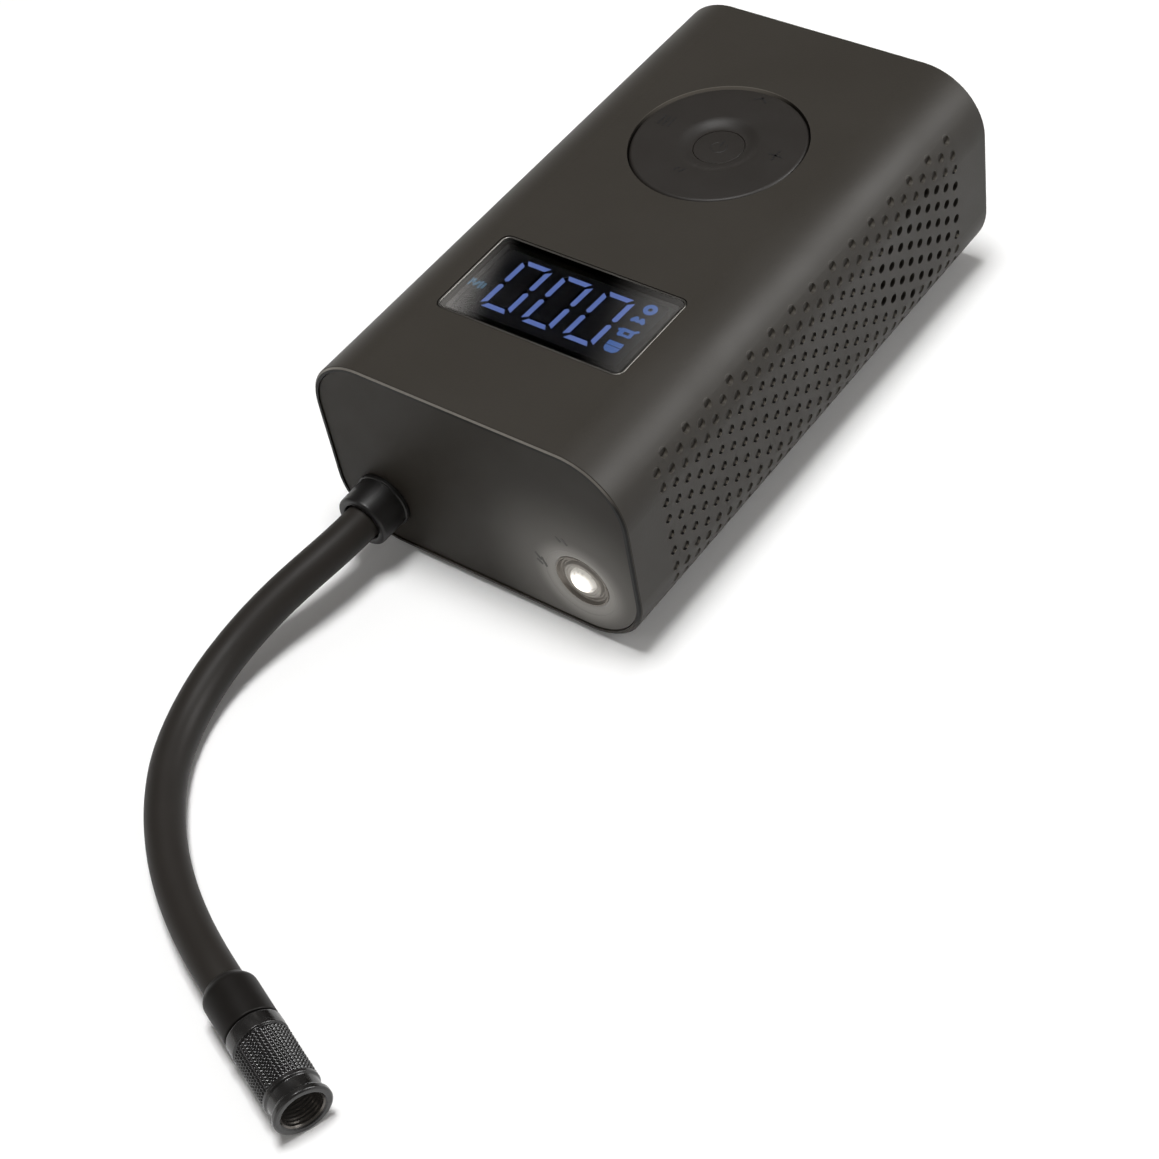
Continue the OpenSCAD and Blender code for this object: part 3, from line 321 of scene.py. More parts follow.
def filleted(corners, steps=7):
    """Rounds the corners (x, y, radius) of an outline: an arc of that radius touches both sides,
    so it starts and ends radius / tan(half the corner's angle) away from the corner."""
    corners = np.asarray(corners, float)
    spot, radius = corners[:, :2], corners[:, 2]
    back, on = unit(np.roll(spot, 1, 0) - spot), unit(np.roll(spot, -1, 0) - spot)
    half = np.arccos(np.clip((back * on).sum(1), -1, 1)) / 2
    centre = spot + unit(back + on) * (radius / np.sin(half))[:, None]
    reach = (radius / np.tan(half))[:, None]
    start, end = spot + back * reach - centre, spot + on * reach - centre
    first = np.arctan2(start[:, 1], start[:, 0])
    sweep = (np.arctan2(end[:, 1], end[:, 0]) - first + math.pi) % TAU - math.pi
    angle = first[:, None] + sweep[:, None] * np.linspace(0, 1, steps)
    arc = np.stack([np.cos(angle), np.sin(angle)], -1) * radius[:, None, None]
    points = (centre[:, None] + arc).reshape(-1, 2)
    return points[np.linalg.norm(points - np.roll(points, 1, 0), axis=1) > 1e-8]


def turned(outline, steps, radius=None):
    """Turns an outline of (radius, height) about Z: a point goes to
    (radius cos t, radius sin t, height). Another radius for each t may be given."""
    t = np.linspace(0, TAU, steps, endpoint=False)
    radius = outline[:, :1] if radius is None else radius
    x, y = radius * np.cos(t), radius * np.sin(t)
    return np.stack([x, y, np.broadcast_to(outline[:, 1:], x.shape)], -1)


def carried_round(profile, width, length_, radius, steps=9):
    """Carries a profile of (outward, height) round a rectangle with round corners: each of its
    points runs round a rectangle that is wider by twice its outward distance."""
    turn = np.arange(4)[:, None]
    angle = (turn + np.linspace(0, 1, steps)) * math.pi / 2
    sides = np.array([(1, 1), (-1, 1), (-1, -1), (1, -1)])
    middle = sides * (width / 2 - radius, length_ / 2 - radius)
    x = middle[:, :1] + (radius + profile[:, 0][:, None, None]) * np.cos(angle)
    y = middle[:, 1:] + (radius + profile[:, 0][:, None, None]) * np.sin(angle)
    z = np.broadcast_to(profile[:, 1][:, None, None], x.shape)
    return np.stack([x, y, z], -1).reshape(len(profile), -1, 3)


def prism(outline, low, high):
    """A flat pad: the outline at two heights, closed from its middle. It is for outlines
    that their middle sees whole."""
    middle = np.broadcast_to(outline.mean(0), outline.shape)
    rings = [(middle, low), (outline, low), (outline, high), (middle, high)]
    return np.stack([np.column_stack([p, np.full(len(p), z)]) for p, z in rings])


def stroke(start, end, width, steps=7):
    """Outline of a straight stroke with round ends: a half circle about each end."""
    start, end = np.asarray(start, float), np.asarray(end, float)
    heading = math.atan2(*(end - start)[::-1])
    half = np.linspace(-math.pi / 2, math.pi / 2, steps)

    def arc(at, turn):
        return at + width / 2 * np.column_stack([np.cos(half + turn), np.sin(half + turn)])

    return np.vstack([arc(end, heading), arc(start, heading + math.pi)])


def pads(lines, width, low, high):
    """A flat pad for each line (start, end) in millimetres: a stroke at two heights."""
    return [prism(stroke(*np.array(line) * MM, width), low, high) for line in lines]


def smooth_route(points, count):
    """The cubic spline through the points, by distance along them: its slope and its bend run
    on through each point, and it is straight at both ends. It is sampled at even distances."""
    points = np.asarray(points, float)
    at = np.r_[0, np.cumsum(np.linalg.norm(np.diff(points, axis=0), axis=1))]
    step = np.diff(at)
    slope = np.diff(points, axis=0) / step[:, None]
    matrix = np.diag(np.r_[1, 2 * (step[:-1] + step[1:]), 1])
    matrix += np.diag(np.r_[0, step[1:]], 1) + np.diag(np.r_[step[:-1], 0], -1)
    ends = np.zeros((1, 3))
    bend = np.linalg.solve(matrix, np.vstack([ends, 6 * np.diff(slope, axis=0), ends]))
    where = np.linspace(0, at[-1], count)
    k = np.clip(np.searchsorted(at, where) - 1, 0, len(step) - 1)
    a = ((at[k + 1] - where) / step[k])[:, None]
    b = 1 - a
    curve = (a ** 3 - a) * bend[k] + (b ** 3 - b) * bend[k + 1]
    return a * points[k] + b * points[k + 1] + curve * step[k][:, None] ** 2 / 6


def tube(path, radius, sides):
    """Carries a circle along a path: at each point it stands across the path's direction, with
    one axis level, and both ends are closed at their middle."""
    heading = unit(np.gradient(path, axis=0))
    sideways = unit(np.cross(heading, (0, 0, 1)))
    across = np.cross(sideways, heading)
    t = np.linspace(0, TAU, sides, endpoint=False)
    radius = np.broadcast_to(radius, len(path))[:, None, None]
    ring = np.cos(t)[:, None] * sideways[:, None] + np.sin(t)[:, None] * across[:, None]
    walls = path[:, None] + radius * ring
    start, end = np.broadcast_to(path[0], (1, sides, 3)), np.broadcast_to(path[-1], (1, sides, 3))
    return np.concatenate([start, walls, end])


def placed(grid, origin, axes):
    """Moves a grid made at the origin: x, y and z run along the three axes from the new origin."""
    return np.asarray(origin, float) + grid @ np.asarray(axes, float)


def quads(rows, columns, round_rows):
    """Faces between neighbouring points of a grid whose columns close on themselves."""
    i, j = np.meshgrid(np.arange(rows if round_rows else rows - 1), np.arange(columns), indexing="ij")
    down, right = (i + 1) % rows, (j + 1) % columns
    corners = [i * columns + j, i * columns + right, down * columns + right, down * columns + j]
    return np.stack(corners, -1).reshape(-1, 4)


def add_object(name, data):
    """A new object of the scene, which shows the given mesh, lamp or camera."""
    thing = bpy.data.objects.new(name, data)
    bpy.context.scene.collection.objects.link(thing)
    return thing


def make_piece(name, grids, look, body, sharp=40):
    """Makes one object of closed surfaces. Each is a grid of points, whose columns close on
    themselves, with True where its rows do so too. Doubled points at seams and poles are merged
    and faces turned outwards, and edges that turn more than sharp degrees stay crisp."""
    points, faces, first = [], [], 0
    for grid, round_rows in grids:
        rows, columns = grid.shape[:2]
        points.append(grid.reshape(-1, 3))
        faces.append(quads(rows, columns, round_rows) + first)
        first += rows * columns
    mesh = bpy.data.meshes.new(name)
    mesh.from_pydata(np.concatenate(points).tolist(), [], np.concatenate(faces).tolist())
    shape = bmesh.new()
    shape.from_mesh(mesh)
    bmesh.ops.remove_doubles(shape, verts=shape.verts, dist=2e-7)
    bmesh.ops.dissolve_degenerate(shape, dist=1e-7, edges=shape.edges)
    bmesh.ops.recalc_face_normals(shape, faces=shape.faces)
    shape.to_mesh(mesh)
    shape.free()
    mesh.shade_smooth()
    mesh.set_sharp_from_angle(angle=math.radians(sharp))
    mesh.materials.append(look.owner)
    piece = add_object(name, mesh)
    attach(piece, body)
    return piece


# ---------------------------------------------------------------- finishes

class Look:
    """The nodes of a material or of the world, and the steps that a look is mixed from. A step
    takes numbers, colours or the results of other steps, and gives its own result."""

    def __init__(self, owner):
        owner.use_nodes = True
        self.owner, self.tree = owner, owner.node_tree
        self.main = self.tree.nodes.get("Principled BSDF") or self.tree.nodes.get("Background")

    def __getitem__(self, name):
        """What a socket of the main shader is linked to."""
        return self.main.inputs[name].links[0].from_socket

    def __setitem__(self, name, value):
        """Gives a socket of the main shader a number, a colour or a result."""
        self.put(self.main.inputs[name], value)

    def put(self, socket, value):
        """Links a result to a socket, or sets its number or colour."""
        if isinstance(value, bpy.types.NodeSocket):
            self.tree.links.new(value, socket)
        else:
            socket.default_value = (*value, 1) if socket.type == "RGBA" else value

    def step(self, kind, inputs, result, **settings):
        """Adds a node with its settings and inputs, and gives one of its results."""
        node = self.tree.nodes.new("ShaderNode" + kind)
        for name, value in settings.items():
            setattr(node, name, value)
        for name, value in inputs.items():
            self.put(node.inputs[name], value)
        return node.outputs[result]

    def maths(self, operation, *values):
        """One step of arithmetic on numbers."""
        return self.step("Math", dict(enumerate(values)), "Value", operation=operation)

    def along(self, operation, *values):
        """One step of arithmetic on vectors."""
        result = "Value" if operation in ("LENGTH", "DOT_PRODUCT") else "Vector"
        return self.step("VectorMath", dict(enumerate(values)), result, operation=operation)

    def chain(self, operation, first, *others):
        """The same step of arithmetic on one number after another."""
        for other in others:
            first = self.maths(operation, first, other)
        return first

    def times(self, *values):
        """The product of numbers."""
        return self.chain("MULTIPLY", *values)

    def plus(self, *values):
        """The sum of numbers."""
        return self.chain("ADD", *values)

    def minus(self, value, other):
        """One number less another."""
        return self.maths("SUBTRACT", value, other)

    def most(self, *values):
        """The largest of some numbers."""
        return self.chain("MAXIMUM", *values)

    def ramp(self, value, start, end, low, high, course="SMOOTHSTEP"):
        """Runs smoothly from low at start to high at end."""
        inputs = {"Value": value, "From Min": start, "From Max": end, "To Min": low, "To Max": high}
        return self.step("MapRange", inputs, "Result", interpolation_type=course)

    def spread(self, noise, low, high):
        """Maps a noise's middle range from low to high."""
        return self.ramp(noise, 0.3, 0.7, low, high, "LINEAR")

    def mix(self, value, dark, light):
        """Mixes two colours by a value."""
        inputs = {"Factor": value, "A": dark, "B": light}
        return self.step("Mix", inputs, "Result", data_type="RGBA")

    def place(self):
        """A point's Object coordinates."""
        return self.step("TexCoord", {}, "Object")

    def axis(self, name, vector=None):
        """One coordinate of a vector, and of the point itself where none is given."""
        vector = self.place() if vector is None else vector
        return self.step("SeparateXYZ", {"Vector": vector}, name)

    def distance(self, middle, axes):
        """Distance of a point from a middle, along the given axes only."""
        shift = self.along("SUBTRACT", self.place(), middle)
        return self.along("LENGTH", self.along("MULTIPLY", shift, [float(k in axes) for k in "XYZ"]))

    def noise(self, size, detail=3.0):
        """Noise with features of a given size in metres."""
        inputs = {"Scale": 1 / size, "Detail": detail, "Vector": self.place()}
        return self.step("TexNoise", inputs, "Fac")

    def seen(self, *rays):
        """One where a point is seen by the given kinds of ray, and else zero."""
        return self.most(*[self.step("LightPath", {}, f"Is {ray} Ray") for ray in rays])

    def lit(self, tint, strength):
        """Adds a light of its own, of a colour and a strength."""
        self["Emission Color"], self["Emission Strength"] = tint, strength
        return self


def grained(name, tint, roughness=0.5, metallic=0.0, mottle=0.12, patch=0.004, grain=0.0004,
            relief=0.00001, specular=0.5):
    """A finish whose colour wanders by mottle over patches, whose gloss wanders with them, and
    whose surface has a fine grain of the given size and relief."""
    look = Look(bpy.data.materials.new(name))
    patches = look.noise(patch)
    low, high = [tuple(min(1, c * k) for c in tint) for k in (1 - mottle, 1 + mottle)]
    look["Base Color"] = look.mix(patches, low, high)
    look["Roughness"] = look.spread(patches, max(0.02, roughness - 0.04), min(1, roughness + 0.04))
    bump = {"Distance": relief, "Height": look.noise(grain, 2.0)}
    look["Normal"] = look.step("Bump", bump, "Normal")
    look["Metallic"], look["Specular IOR Level"] = metallic, specular
    return look


def glowing(name, light, dark=0.8):
    """A lit face whose brightness wanders a little, from dark to full."""
    look = Look(bpy.data.materials.new(name))
    look["Base Color"], look["Roughness"] = (0.02, 0.02, 0.02), 0.5
    patches = look.noise(0.0006)
    return look.lit(look.mix(patches, [c * dark for c in light], light), 1.0)


def sleeve_finish(case):
    """Matt coat over the metal sleeve, with bare metal on its bevelled front and rear rims: the metal
    shows only in a narrow band over the outer part of the bevels at the top, where it reflects
    the lamps and stands in for the rims' highlight, a painted highlight. Lower down the bevels
    are painted dark, a painted shade. The dimples have walls painted lighter with a painted
    glow, and two painted dark spots."""
    look = grained("sleeve_coat", case.sleeve, case.roughness, grain=case.grain, relief=0.000018,
                   mottle=0.06, patch=0.02, specular=0.2)
    end, height = SLEEVE_HIGH.y, look.axis("Z")
    along = look.distance((0, 0, 0), "Y")
    begins = look.ramp(along, end - 0.40 * MM, end - 0.30 * MM, 0, 1)
    ends = look.ramp(along, end - 0.04 * MM, end - 0.02 * MM, 1, 0)
    # Painted highlight: the bare metal shows only at the top of the rims, where their highlight falls
    bare = look.times(begins, ends, look.ramp(height, 41 * MM, 48.5 * MM, 0, 1))
    seam = look.ramp(along, end - 0.34 * MM, end - 0.26 * MM, 0, 1)
    upright = look.ramp(height, 7 * MM, 12 * MM, 0, 1)
    # Painted shade: the bevels are darkened lower down, in the seam
    shade = look.times(upright, look.minus(seam, bare))
    shaded = look.mix(shade, look["Base Color"], [0.12 * c for c in case.sleeve])
    # Painted light on the dimples' walls and painted dark spots in the dimples
    wall, dark = painted_dimple_tones(look)
    painted_wall_tone = look.mix(wall, look.mix(bare, shaded, case.edge), case.dimple)
    look["Base Color"] = look.mix(dark, painted_wall_tone, [0.1 * c for c in case.sleeve])
    look["Metallic"] = bare
    # Painted glow: the dimples' walls and the far wall of the ring's hole give off light of their own
    walls = look.plus(look.times(wall, look.minus(1.0, dark)), painted_hole_highlight(look, height))
    return look.lit(case.dimple, look.times(walls, case.painted_wall_glow))


def painted_hole_highlight(look, height):
    """Painted highlight: one on the far part of the wall of the ring's hole, which the ring would
    leave black.
    """
    hole, far = 19.5 * MM, (-0.62, 0.78, 0)
    on_wall = look.ramp(look.distance(RING_AXIS, "XY"), hole, hole + 0.06 * MM, 1, 0)
    middle = float(np.dot(far, RING_AXIS))
    behind = look.along("DOT_PRODUCT", look.place(), far)
    back = look.ramp(behind, middle + 9 * MM, middle + 18 * MM, 0, 1.6)
    return look.times(on_wall, back, look.ramp(height, TOP - 1.8 * MM, TOP - 0.5 * MM, 0, 1))


def painted_dimple_tones(look):
    """Where a blind dimple's wall is painted lighter and where its two painted dark spots are: the
    wall's painted light and the spots' painted shade and dark reflection. A point's height
    is first spread out where the sleeve turns over. Its column and row are the nearest whole
    numbers, and the rest is its place in that dimple: the wall is a thin ring, and the spots
    are round. Both fade where the sleeve turns over, and outside the pattern and in the field
    of vents both are zero."""
    p = PATTERN
    maths, ramp, times, plus, minus = look.maths, look.ramp, look.times, look.plus, look.minus

    def size(value):
        return maths("ABSOLUTE", value)

    def within(value, limit):
        return maths("LESS_THAN", value, limit)

    def squeezed(height, share_):
        """A height whose part past the side's flat is multiplied by a share."""
        past = times(look.most(minus(size(height), p["flat"]), 0.0), share_)
        return times(plus(maths("MINIMUM", size(height), p["flat"]), past), maths("SIGN", height))

    middle_column = (p["columns"] - 1) / 2
    forward = minus(times(look.axis("Y"), 1 / MM), p["start"])
    column = plus(maths("DIVIDE", forward, p["pitch"]), middle_column)
    height = minus(times(look.axis("Z"), 1 / MM), p["middle"])
    row = maths("DIVIDE", squeezed(height, 1 / p["squeeze"]), p["step"])
    near_column = maths("ROUND", column)
    raised = minus(times(size(maths("MODULO", near_column, 2.0)), 0.5), 0.25)
    shifted = minus(row, raised)
    site = times(plus(maths("ROUND", shifted), raised), p["step"])
    away_y = times(minus(column, near_column), p["pitch"])
    away_z = minus(height, squeezed(site, p["squeeze"]))

    def from_spot(y, z):
        a, b = minus(away_y, y), minus(away_z, z)
        return maths("SQRT", plus(times(a, a), times(b, b)))

    field = times(within(size(minus(column, middle_column)), p["columns"] / 2),
                  within(size(shifted), p["rows"] + 0.5))
    off = size(minus(near_column, p["vent_column"]))
    up = size(minus(site, 0.25 * p["step"]))
    slant = plus(up, times(off, p["step"] / 2))
    vent = times(within(off, p["vent_columns"] + 0.5), within(up, p["vent_half_h"]),
                 within(slant, p["vent_reach"]))
    fade = ramp(size(height), p["flat"] - 0.5, p["flat"] + 2.5, 1, 0.3)
    blind = times(field, minus(1.0, vent), fade)
    middle = from_spot(0.0, 0.0)
    inside = ramp(middle, p["radius"] + 0.005, p["radius"] + 0.02, 1, 0)
    wall = ramp(middle, p["radius"] - 0.12, p["radius"] - 0.05, 0, 1)
    # The two painted dark spots, painted shade and dark reflection: one towards the rear and one low
    rear = ramp(from_spot(1.0, -0.05), 0.40, 0.72, 0.92, 0)
    low = ramp(from_spot(-0.10, -1.05), 0.25, 0.50, 1, 0)
    return times(blind, inside, wall), times(blind, inside, look.most(rear, low))


def plate_finish(case, name):
    """Moulded plastic of an end plate, with a finer grain than the sleeve's coat."""
    return grained(name, case.plate, 0.52, grain=0.00025, relief=0.000008, mottle=0.05,
                   patch=0.015, specular=0.16)


def lamp_plate_finish(case, lamp):
    """The front plate's plastic, with a painted glow round the lit lamp: the painted light falls off
    with the distance from the lamp."""
    look = plate_finish(case, "front_plate_plastic")
    away = look.distance(LAMP_MIDDLE, "XZ")
    # Painted glow round the lamp, near and far
    near = look.ramp(away, 6 * MM, 12 * MM, 0.115, 0)
    far = look.ramp(away, 4 * MM, 27 * MM, 0.075, 0)
    return look.lit(lamp.light, look.plus(near, far))


def glass_finish():
    """Smoked glass over the display."""
    look = Look(bpy.data.materials.new("window_glass"))
    patches = look.noise(0.01)
    look["Roughness"] = look.spread(patches, 0.02, 0.05)
    look["Base Color"] = look.mix(patches, (0.60, 0.61, 0.64), (0.64, 0.65, 0.68))
    look["Transmission Weight"], look["IOR"] = 1, 1.45
    return look


def lens_finish(lamp):
    """The lit lens: bright in its middle, with small darker spots where its chips sit, and
    dimmer towards its edge."""
    look = Look(bpy.data.materials.new("lamp_lens_lit"))
    look["Base Color"], look["Roughness"] = (0.5, 0.48, 0.44), 0.2
    chips = {"Scale": 1 / (1.25 * MM), "Vector": look.place()}
    spot = look.ramp(look.step("TexVoronoi", chips, "Distance"), 0.12, 0.42, 0.55, 1)
    away = look.distance(LAMP_MIDDLE, "XZ")
    dimmer = look.ramp(away, 1.9 * MM, lamp.lens_radius, 1, 0.30)
    return look.lit(lamp.light, look.times(spot, dimmer, lamp.strength))


def reflector_finish(lamp):
    """The satin reflector, with a painted glow for the lens's light on it, falling off from the lens.
    """
    look = grained("reflector_satin", lamp.dish, 0.35, 0.5, patch=0.002)
    away = look.distance(LAMP_MIDDLE, "XZ")
    return look.lit(lamp.light, look.ramp(away, 3.0 * MM, 5.6 * MM, 0.16, 0.015))


def collar_finish(chuck):
    """Glossy black coat of the collar, with painted shade at the foot of the knurl's points, and
    bare metal with a faint painted glow on the thread inside, by the distance from the collar's axis."""
    look = grained("chuck_coat", chuck.metal, 0.24, 0.15, grain=0.00015, relief=0.000002,
                   mottle=0.1, patch=0.003, specular=0.7)
    shift = look.along("SUBTRACT", look.place(), CHUCK_START)
    away = look.along("LENGTH", look.along("CROSS_PRODUCT", shift, CHUCK_AXES[2]))
    foot, depth = COLLAR["wall"] * MM, chuck.knurl_depth
    low = look.ramp(away, foot + 0.3 * depth, foot + 0.9 * depth, 1, 0)
    # Painted shade at the foot of the knurl's points
    groove = look.times(low, look.ramp(away, foot - 0.03 * MM, foot - 0.02 * MM, 0, 1))
    thread = (COLLAR["bore"] + 0.25) * MM
    inner = look.ramp(away, thread, thread + 0.05 * MM, 1, 0)
    outside = look.mix(groove, look["Base Color"], (0.002, 0.002, 0.002))
    look["Base Color"] = look.mix(inner, outside, chuck.thread)
    look["Metallic"] = look.ramp(inner, 0, 1, 0.15, 0.9)
    # Faint painted glow on the thread
    return look.lit(chuck.thread, look.ramp(inner, 0, 1, 0, 0.04))


def keys_finish(keys):
    """Soft plastic of the keys. The walls of the narrow groove round the key have a painted glow,
    which lightens the groove's shade, in a thin band of distances from the ring's axis."""
    look = grained("key_plastic", keys.face, 0.47, grain=0.00022, relief=0.000006,
                   mottle=0.05, patch=0.006, specular=0.25)
    away, hole = look.distance(RING_AXIS, "XY"), keys.key_radius + keys.gap
    outer = look.ramp(away, hole + 0.02 * MM, hole + 0.06 * MM, 1, 0)
    inner = look.ramp(away, keys.key_radius - 0.03 * MM, keys.key_radius - 0.01 * MM, 0, 1)
    # Painted glow in the groove round the key
    return look.lit(keys.face, look.times(inner, outer, 0.55))


def dress(look, *names):
    """Gives CAD nodes a material."""
    for name in names:
        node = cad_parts[name]
        if not node.material_slots:
            node.data.materials.append(look.owner)
        for place in node.material_slots:
            place.material = look.owner


# ---------------------------------------------------------------- operators

class MakeCase(bpy.types.Operator):
    """Finish the sleeve, its two end plates, the feet, the screws and the charging port"""
    bl_idname = "inflator.make_case"
    bl_label = "Case"

    def execute(self, context):
        looks = context.scene.inflator
        case = looks.case
        dress(sleeve_finish(case), "shell")
        dress(lamp_plate_finish(case, looks.lamp), "front_plate")
        dress(plate_finish(case, "rear_plate_plastic"), "rear_plate")
        dress(grained("feet_rubber", case.rubber, 0.75, grain=0.0003, relief=0.00002), "feet")
        dress(grained("screw_black", (0.03, 0.03, 0.032), 0.35, 0.9, grain=0.0002), "rear_screws")
        dress(grained("port_steel", (0.55, 0.55, 0.56), 0.28, 1.0, grain=0.0002), "usb_port")
        return {"FINISHED"}


class MakeHose(bpy.types.Operator):
    """Make the hose from the gland to the chuck"""
    bl_idname = "inflator.make_hose"
    bl_label = "Hose"

    def execute(self, context):
        hose = context.scene.inflator.hose
        path = smooth_route(HOSE_ROUTE, hose.rings)
        path[:, 2] = np.maximum(path[:, 2], HOSE_DIAMETER / 2)
        rubber = grained("hose_rubber", hose.rubber, 0.5, grain=0.0002, relief=0.000006,
                         mottle=0.08, patch=0.01, specular=0.15)
        walls = tube(path, HOSE_DIAMETER / 2, hose.sides)
        piece = make_piece("air_hose", [(walls, False)], rubber, "housing")
        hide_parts("hose")
        return {"FINISHED"}


class MakeGland(bpy.types.Operator):
    """Make the gland: a flange on the plate and a round nose with the hose's hole"""
    bl_idname = "inflator.make_gland"
    bl_label = "Gland"

    def execute(self, context):
        hose = context.scene.inflator.hose
        nose = (PLATE_FRONT - BOX["hose_collar"][0].y) / MM
        seat, shank, pilot = nose - 4, 4.5, 1.5
        bore = HOSE_DIAMETER / 2 / MM + 0.35
        outline = filleted(np.array([
            (pilot, -2, 0), (shank, -2, 0), (shank, 0, 0), (6.5, 0, 0.1), (6.5, 1.05, 0.3),
            (6.2, 1.15, 0.08), (6.1, nose, 0.6), (bore, nose, 0.4), (bore, seat, 0), (pilot, seat, 0),
        ]) * MM)
        rubber = grained("gland_rubber", hose.gland, 0.38, grain=0.0002, relief=0.000008,
                         mottle=0.08, patch=0.004, specular=0.3)
        origin = (GLAND_MIDDLE.x, PLATE_FRONT, GLAND_MIDDLE.z)
        grid = placed(turned(outline, 96), origin, OUT_OF_PLATE)
        piece = make_piece("hose_gland", [(grid, True)], rubber, "housing")
        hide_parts("hose_collar")
        return {"FINISHED"}


class MakeChuck(bpy.types.Operator):
    """Make the chuck: a smooth sleeve on the hose and a knurled collar that turns"""
    bl_idname = "inflator.make_chuck"
    bl_label = "Chuck"

    def execute(self, context):
        chuck = context.scene.inflator.chuck
        rubber = grained("sleeve_rubber", chuck.sleeve, 0.45, grain=0.00015, relief=0.000004,
                         mottle=0.08, patch=0.004, specular=0.13)
        wall, reach = 5.4, 11
        sleeve = filleted(np.array([
            (0, 0, 0), (4.3, 0, 0.2), (wall, 1.7, 2.2), (wall, reach, 0.3), (0, reach, 0),
        ]) * MM, 12)
        grid = placed(turned(sleeve, 96), CHUCK_START, CHUCK_AXES)
        piece = make_piece("chuck_sleeve", [(grid, False)], rubber, "housing")
        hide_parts("hose_ferrule")
        outline, height = self.collar(chuck)
        t = np.linspace(0, TAU, chuck.knurl_count * 6, endpoint=False)
        radius = outline[:, :1] + height[:, None] * self.bumps(t * chuck.knurl_count / 2)
        grid = placed(turned(outline, len(t), radius), CHUCK_START, CHUCK_AXES)
        piece = make_piece("chuck_grip", [(grid, True)], collar_finish(chuck), "chuck")
        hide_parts("chuck_collar")
        # The nickel core and pin inside the mouth get a faint painted glow
        metals = [("core_nickel", (0.62, 0.58, 0.50), 0.25, "chuck_core"),
                  ("pin_nickel", (0.80, 0.77, 0.70), 0.22, "valve_pin")]
        for name, tint, roughness, node in metals:
            dress(grained(name, tint, roughness, 1.0).lit((1, 0.96, 0.9), 0.02), node)
        dress(grained("gasket_rubber", (0.010, 0.010, 0.010), 0.5), "chuck_gasket")
        return {"FINISHED"}

    def bumps(self, turn):
        """A row of round bumps, one for each half turn: one less the cube of the cosine's size."""
        return 1 - np.abs(np.cos(turn)) ** 3

    def collar(self, chuck):
        """Outline of the collar and the knurl's height at each of its points: the height is a
        row of bumps along the grip, and none elsewhere."""
        c = COLLAR
        wall, foot, reach, bore, inlet = c["wall"], c["foot"], c["length"], c["bore"], 3.18
        before = filleted(np.array([
            (inlet, 0, 0), (5.5, 0, 0.4), (5.5, 3.1, 0.15), (wall, 3.3, 0.1), (wall, foot, 0),
        ]) * MM)
        rows = int(round(c["grip"] * MM / chuck.knurl_pitch))
        along = np.linspace(0, rows, rows * 6 + 1)
        height = chuck.knurl_depth * self.bumps(along * math.pi)
        grip = np.column_stack([np.full(len(along), wall * MM),
                                foot * MM + along * chuck.knurl_pitch])
        end = grip[-1, 1] / MM
        thread = [(bore + deep, reach - 1.0 - 0.79 * turn - down, 0) for turn in range(9)
                  for deep, down in ((0, 0), (0.16, 0.2), (0.16, 0.3), (0, 0.5))]
        after = filleted(np.array([
            (wall, end, 0), (wall, end + 0.15, 0.1), (5.45, end + 0.3, 0.15),
            (5.45, end + 0.95, 0.2), (5.1, end + 1.3, 0.2), (5.1, reach - 1.7, 0.6),
            (5.7, reach - 1.1, 0.3), (5.7, reach - 0.25, 0.2), (5.35, reach, 0.2),
            (4.55, reach, 0.2), (bore, reach - 0.6, 0.1), *thread, (bore, reach - 8.5, 0),
            (bore + 0.18, reach - 8.5, 0), (bore + 0.18, 2, 0), (inlet, 2, 0),
        ]) * MM)
        outline = np.vstack([before, grip[1:-1], after]) + (0, c["start"] * MM)
        return outline, np.r_[np.zeros(len(before)), height[1:-1], np.zeros(len(after))]


